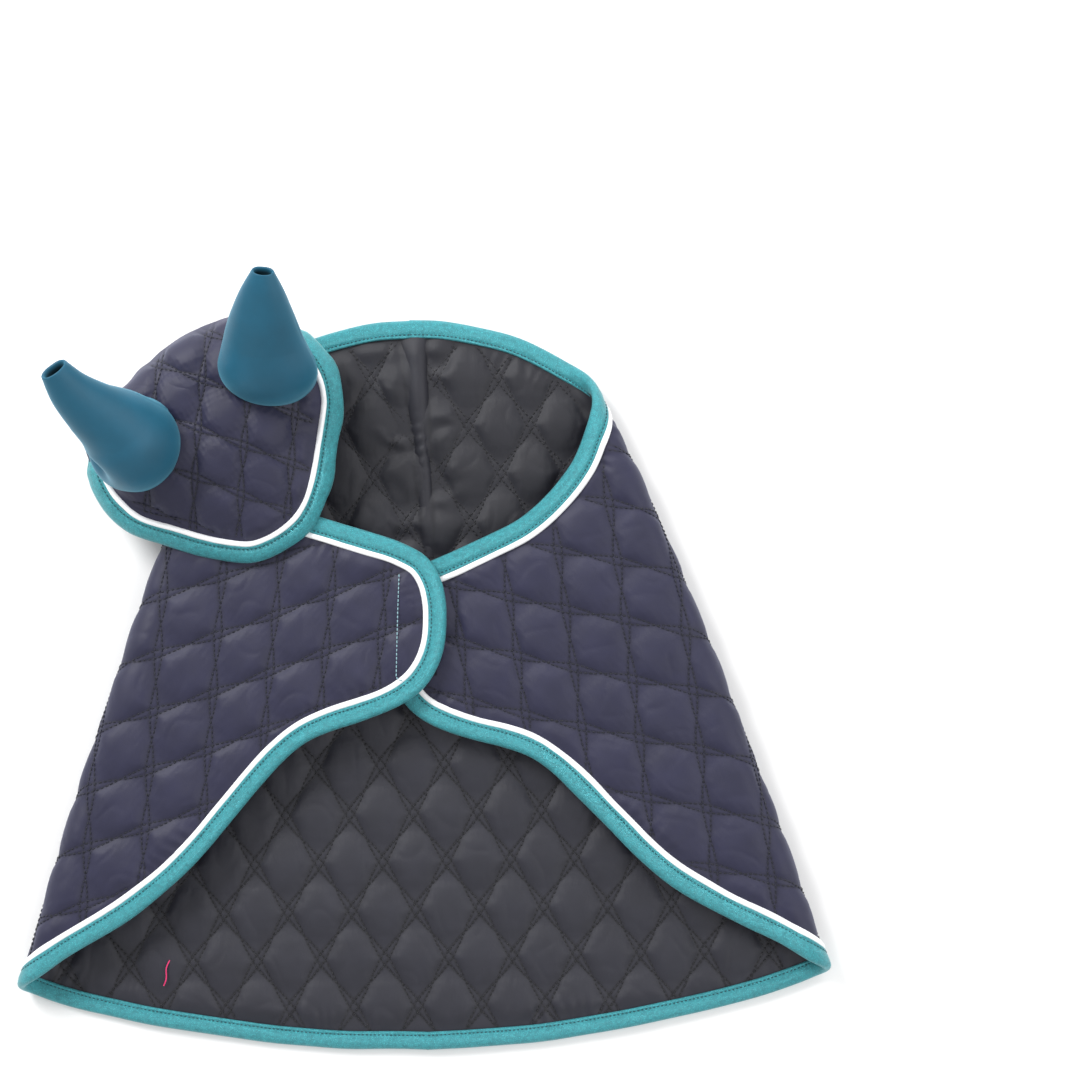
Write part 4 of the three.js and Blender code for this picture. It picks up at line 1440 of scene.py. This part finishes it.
class RugSettings(bpy.types.PropertyGroup):
    cell_width: bpy.props.FloatProperty(
        name="Quilt width", description="Width of one quilted diamond", default=0.0408, subtype="DISTANCE"
    )
    cell_height: bpy.props.FloatProperty(
        name="Quilt height", description="Height of one quilted diamond", default=0.0616, subtype="DISTANCE"
    )
    sway: bpy.props.FloatProperty(
        name="Stitch sway", description="How far a stitch line swings to each side", default=0.0022,
        subtype="DISTANCE",
    )
    puff: bpy.props.FloatProperty(
        name="Puff", description="How far a quilted pillow stands off its stitch lines", default=0.003,
        subtype="DISTANCE",
    )
    fullness: bpy.props.FloatProperty(
        name="Fullness", description="Extra cloth gathered into each quilted pillow", default=0.02,
        min=0, max=0.3,
    )
    fineness: bpy.props.IntProperty(
        name="Fineness", description="Mesh steps along the side of one diamond", default=26, min=8, max=40
    )
    binding_width: bpy.props.FloatProperty(
        name="Binding width", description="Width of the binding on each face", default=0.0115,
        subtype="DISTANCE",
    )
    piping_width: bpy.props.FloatProperty(
        name="Piping width", description="Width of the piping, part of it under the binding", default=0.0038,
        subtype="DISTANCE",
    )
    outer_colour: bpy.props.FloatVectorProperty(
        name="Outer", description="Colour of the outer cloth", subtype="COLOR",
        default=(0.0155, 0.0155, 0.041),
    )
    lining_colour: bpy.props.FloatVectorProperty(
        name="Lining", description="Colour of the lining", subtype="COLOR", default=(0.0175, 0.0178, 0.0265)
    )
    binding_colour: bpy.props.FloatVectorProperty(
        name="Binding", description="Colour of the binding", subtype="COLOR", default=(0.036, 0.25, 0.285)
    )
    ear_colour: bpy.props.FloatVectorProperty(
        name="Ears", description="Colour of the ears", subtype="COLOR", default=(0.003, 0.078, 0.138)
    )


class RUG_OT_outer_cloth(bpy.types.Operator):
    """Make the quilted outer cloth"""

    bl_idname = "rug.outer_cloth"
    bl_label = "Outer cloth"

    def execute(self, context):
        add_cloth(context.scene.turnout_rug, True)
        return {"FINISHED"}


class RUG_OT_lining(bpy.types.Operator):
    """Make the quilted lining"""

    bl_idname = "rug.lining"
    bl_label = "Lining"

    def execute(self, context):
        add_cloth(context.scene.turnout_rug, False)
        return {"FINISHED"}


class RUG_OT_withers_tuck(bpy.types.Operator):
    """Make the tuck that shapes the neck"""

    bl_idname = "rug.withers_tuck"
    bl_label = "Withers tuck"

    def execute(self, context):
        add_dart()
        return {"FINISHED"}


class RUG_OT_binding(bpy.types.Operator):
    """Make the binding round the free edge"""

    bl_idname = "rug.binding"
    bl_label = "Binding"

    def execute(self, context):
        add_binding(context.scene.turnout_rug)
        return {"FINISHED"}


class RUG_OT_piping(bpy.types.Operator):
    """Make the piping inside the binding"""

    bl_idname = "rug.piping"
    bl_label = "Piping"

    def execute(self, context):
        add_piping(context.scene.turnout_rug)
        return {"FINISHED"}


class RUG_OT_quilt_stitches(bpy.types.Operator):
    """Make the quilting stitches on both faces"""

    bl_idname = "rug.quilt_stitches"
    bl_label = "Quilting stitches"

    def execute(self, context):
        add_quilt_stitches(context.scene.turnout_rug)
        return {"FINISHED"}


class RUG_OT_fastener(bpy.types.Operator):
    """Make the touch fastener and its stitching on the tab"""

    bl_idname = "rug.fastener"
    bl_label = "Touch fastener"

    def execute(self, context):
        add_fastener()
        return {"FINISHED"}


class RUG_OT_tack(bpy.types.Operator):
    """Make the loose coloured thread in the lining"""

    bl_idname = "rug.tack"
    bl_label = "Loose thread"

    def execute(self, context):
        add_tack()
        return {"FINISHED"}


class RUG_OT_bonnet_cap(bpy.types.Operator):
    """Make the quilted cap of the bonnet"""

    bl_idname = "rug.bonnet_cap"
    bl_label = "Bonnet cap"

    def execute(self, context):
        add_bonnet_cap(context.scene.turnout_rug)
        return {"FINISHED"}


class RUG_OT_bonnet_trims(bpy.types.Operator):
    """Make the binding and piping of the bonnet"""

    bl_idname = "rug.bonnet_trims"
    bl_label = "Bonnet trims"

    def execute(self, context):
        add_bonnet_trims(context.scene.turnout_rug)
        return {"FINISHED"}


class RUG_OT_ears(bpy.types.Operator):
    """Make the two ears of the bonnet"""

    bl_idname = "rug.ears"
    bl_label = "Ears"

    def execute(self, context):
        add_ears()
        return {"FINISHED"}


class RUG_OT_stage(bpy.types.Operator):
    """Set out the floor, the lights and the camera"""

    bl_idname = "rug.stage"
    bl_label = "Stage"

    def execute(self, context):
        add_stage()
        return {"FINISHED"}


OPERATORS = [
    RUG_OT_outer_cloth, RUG_OT_lining, RUG_OT_withers_tuck, RUG_OT_binding, RUG_OT_piping,
    RUG_OT_quilt_stitches, RUG_OT_fastener, RUG_OT_tack, RUG_OT_bonnet_cap, RUG_OT_bonnet_trims,
    RUG_OT_ears, RUG_OT_stage,
]


class RUG_PT_panel(bpy.types.Panel):
    """Sizes, colours and steps of the rug"""

    bl_idname = "RUG_PT_panel"
    bl_label = "Turnout rug"
    bl_space_type = "VIEW_3D"
    bl_region_type = "UI"
    bl_category = "Turnout rug"

    def draw(self, context):
        settings = context.scene.turnout_rug
        for name in RugSettings.__annotations__:
            self.layout.prop(settings, name)
        for operator in OPERATORS:
            self.layout.operator(operator.bl_idname)


CLASSES = [RugSettings, *OPERATORS, RUG_PT_panel]


def register():
    for cls in CLASSES:
        bpy.utils.register_class(cls)
    bpy.types.Scene.turnout_rug = bpy.props.PointerProperty(type=RugSettings)


def unregister():
    del bpy.types.Scene.turnout_rug
    for cls in reversed(CLASSES):
        bpy.utils.unregister_class(cls)


def main():
    register()
    bpy.ops.rug.outer_cloth()
    bpy.ops.rug.lining()
    bpy.ops.rug.withers_tuck()
    bpy.ops.rug.binding()
    bpy.ops.rug.piping()
    bpy.ops.rug.quilt_stitches()
    bpy.ops.rug.fastener()
    bpy.ops.rug.tack()
    bpy.ops.rug.bonnet_cap()
    bpy.ops.rug.bonnet_trims()
    bpy.ops.rug.ears()
    bpy.ops.rug.stage()


if __name__ == "__main__":
    main()
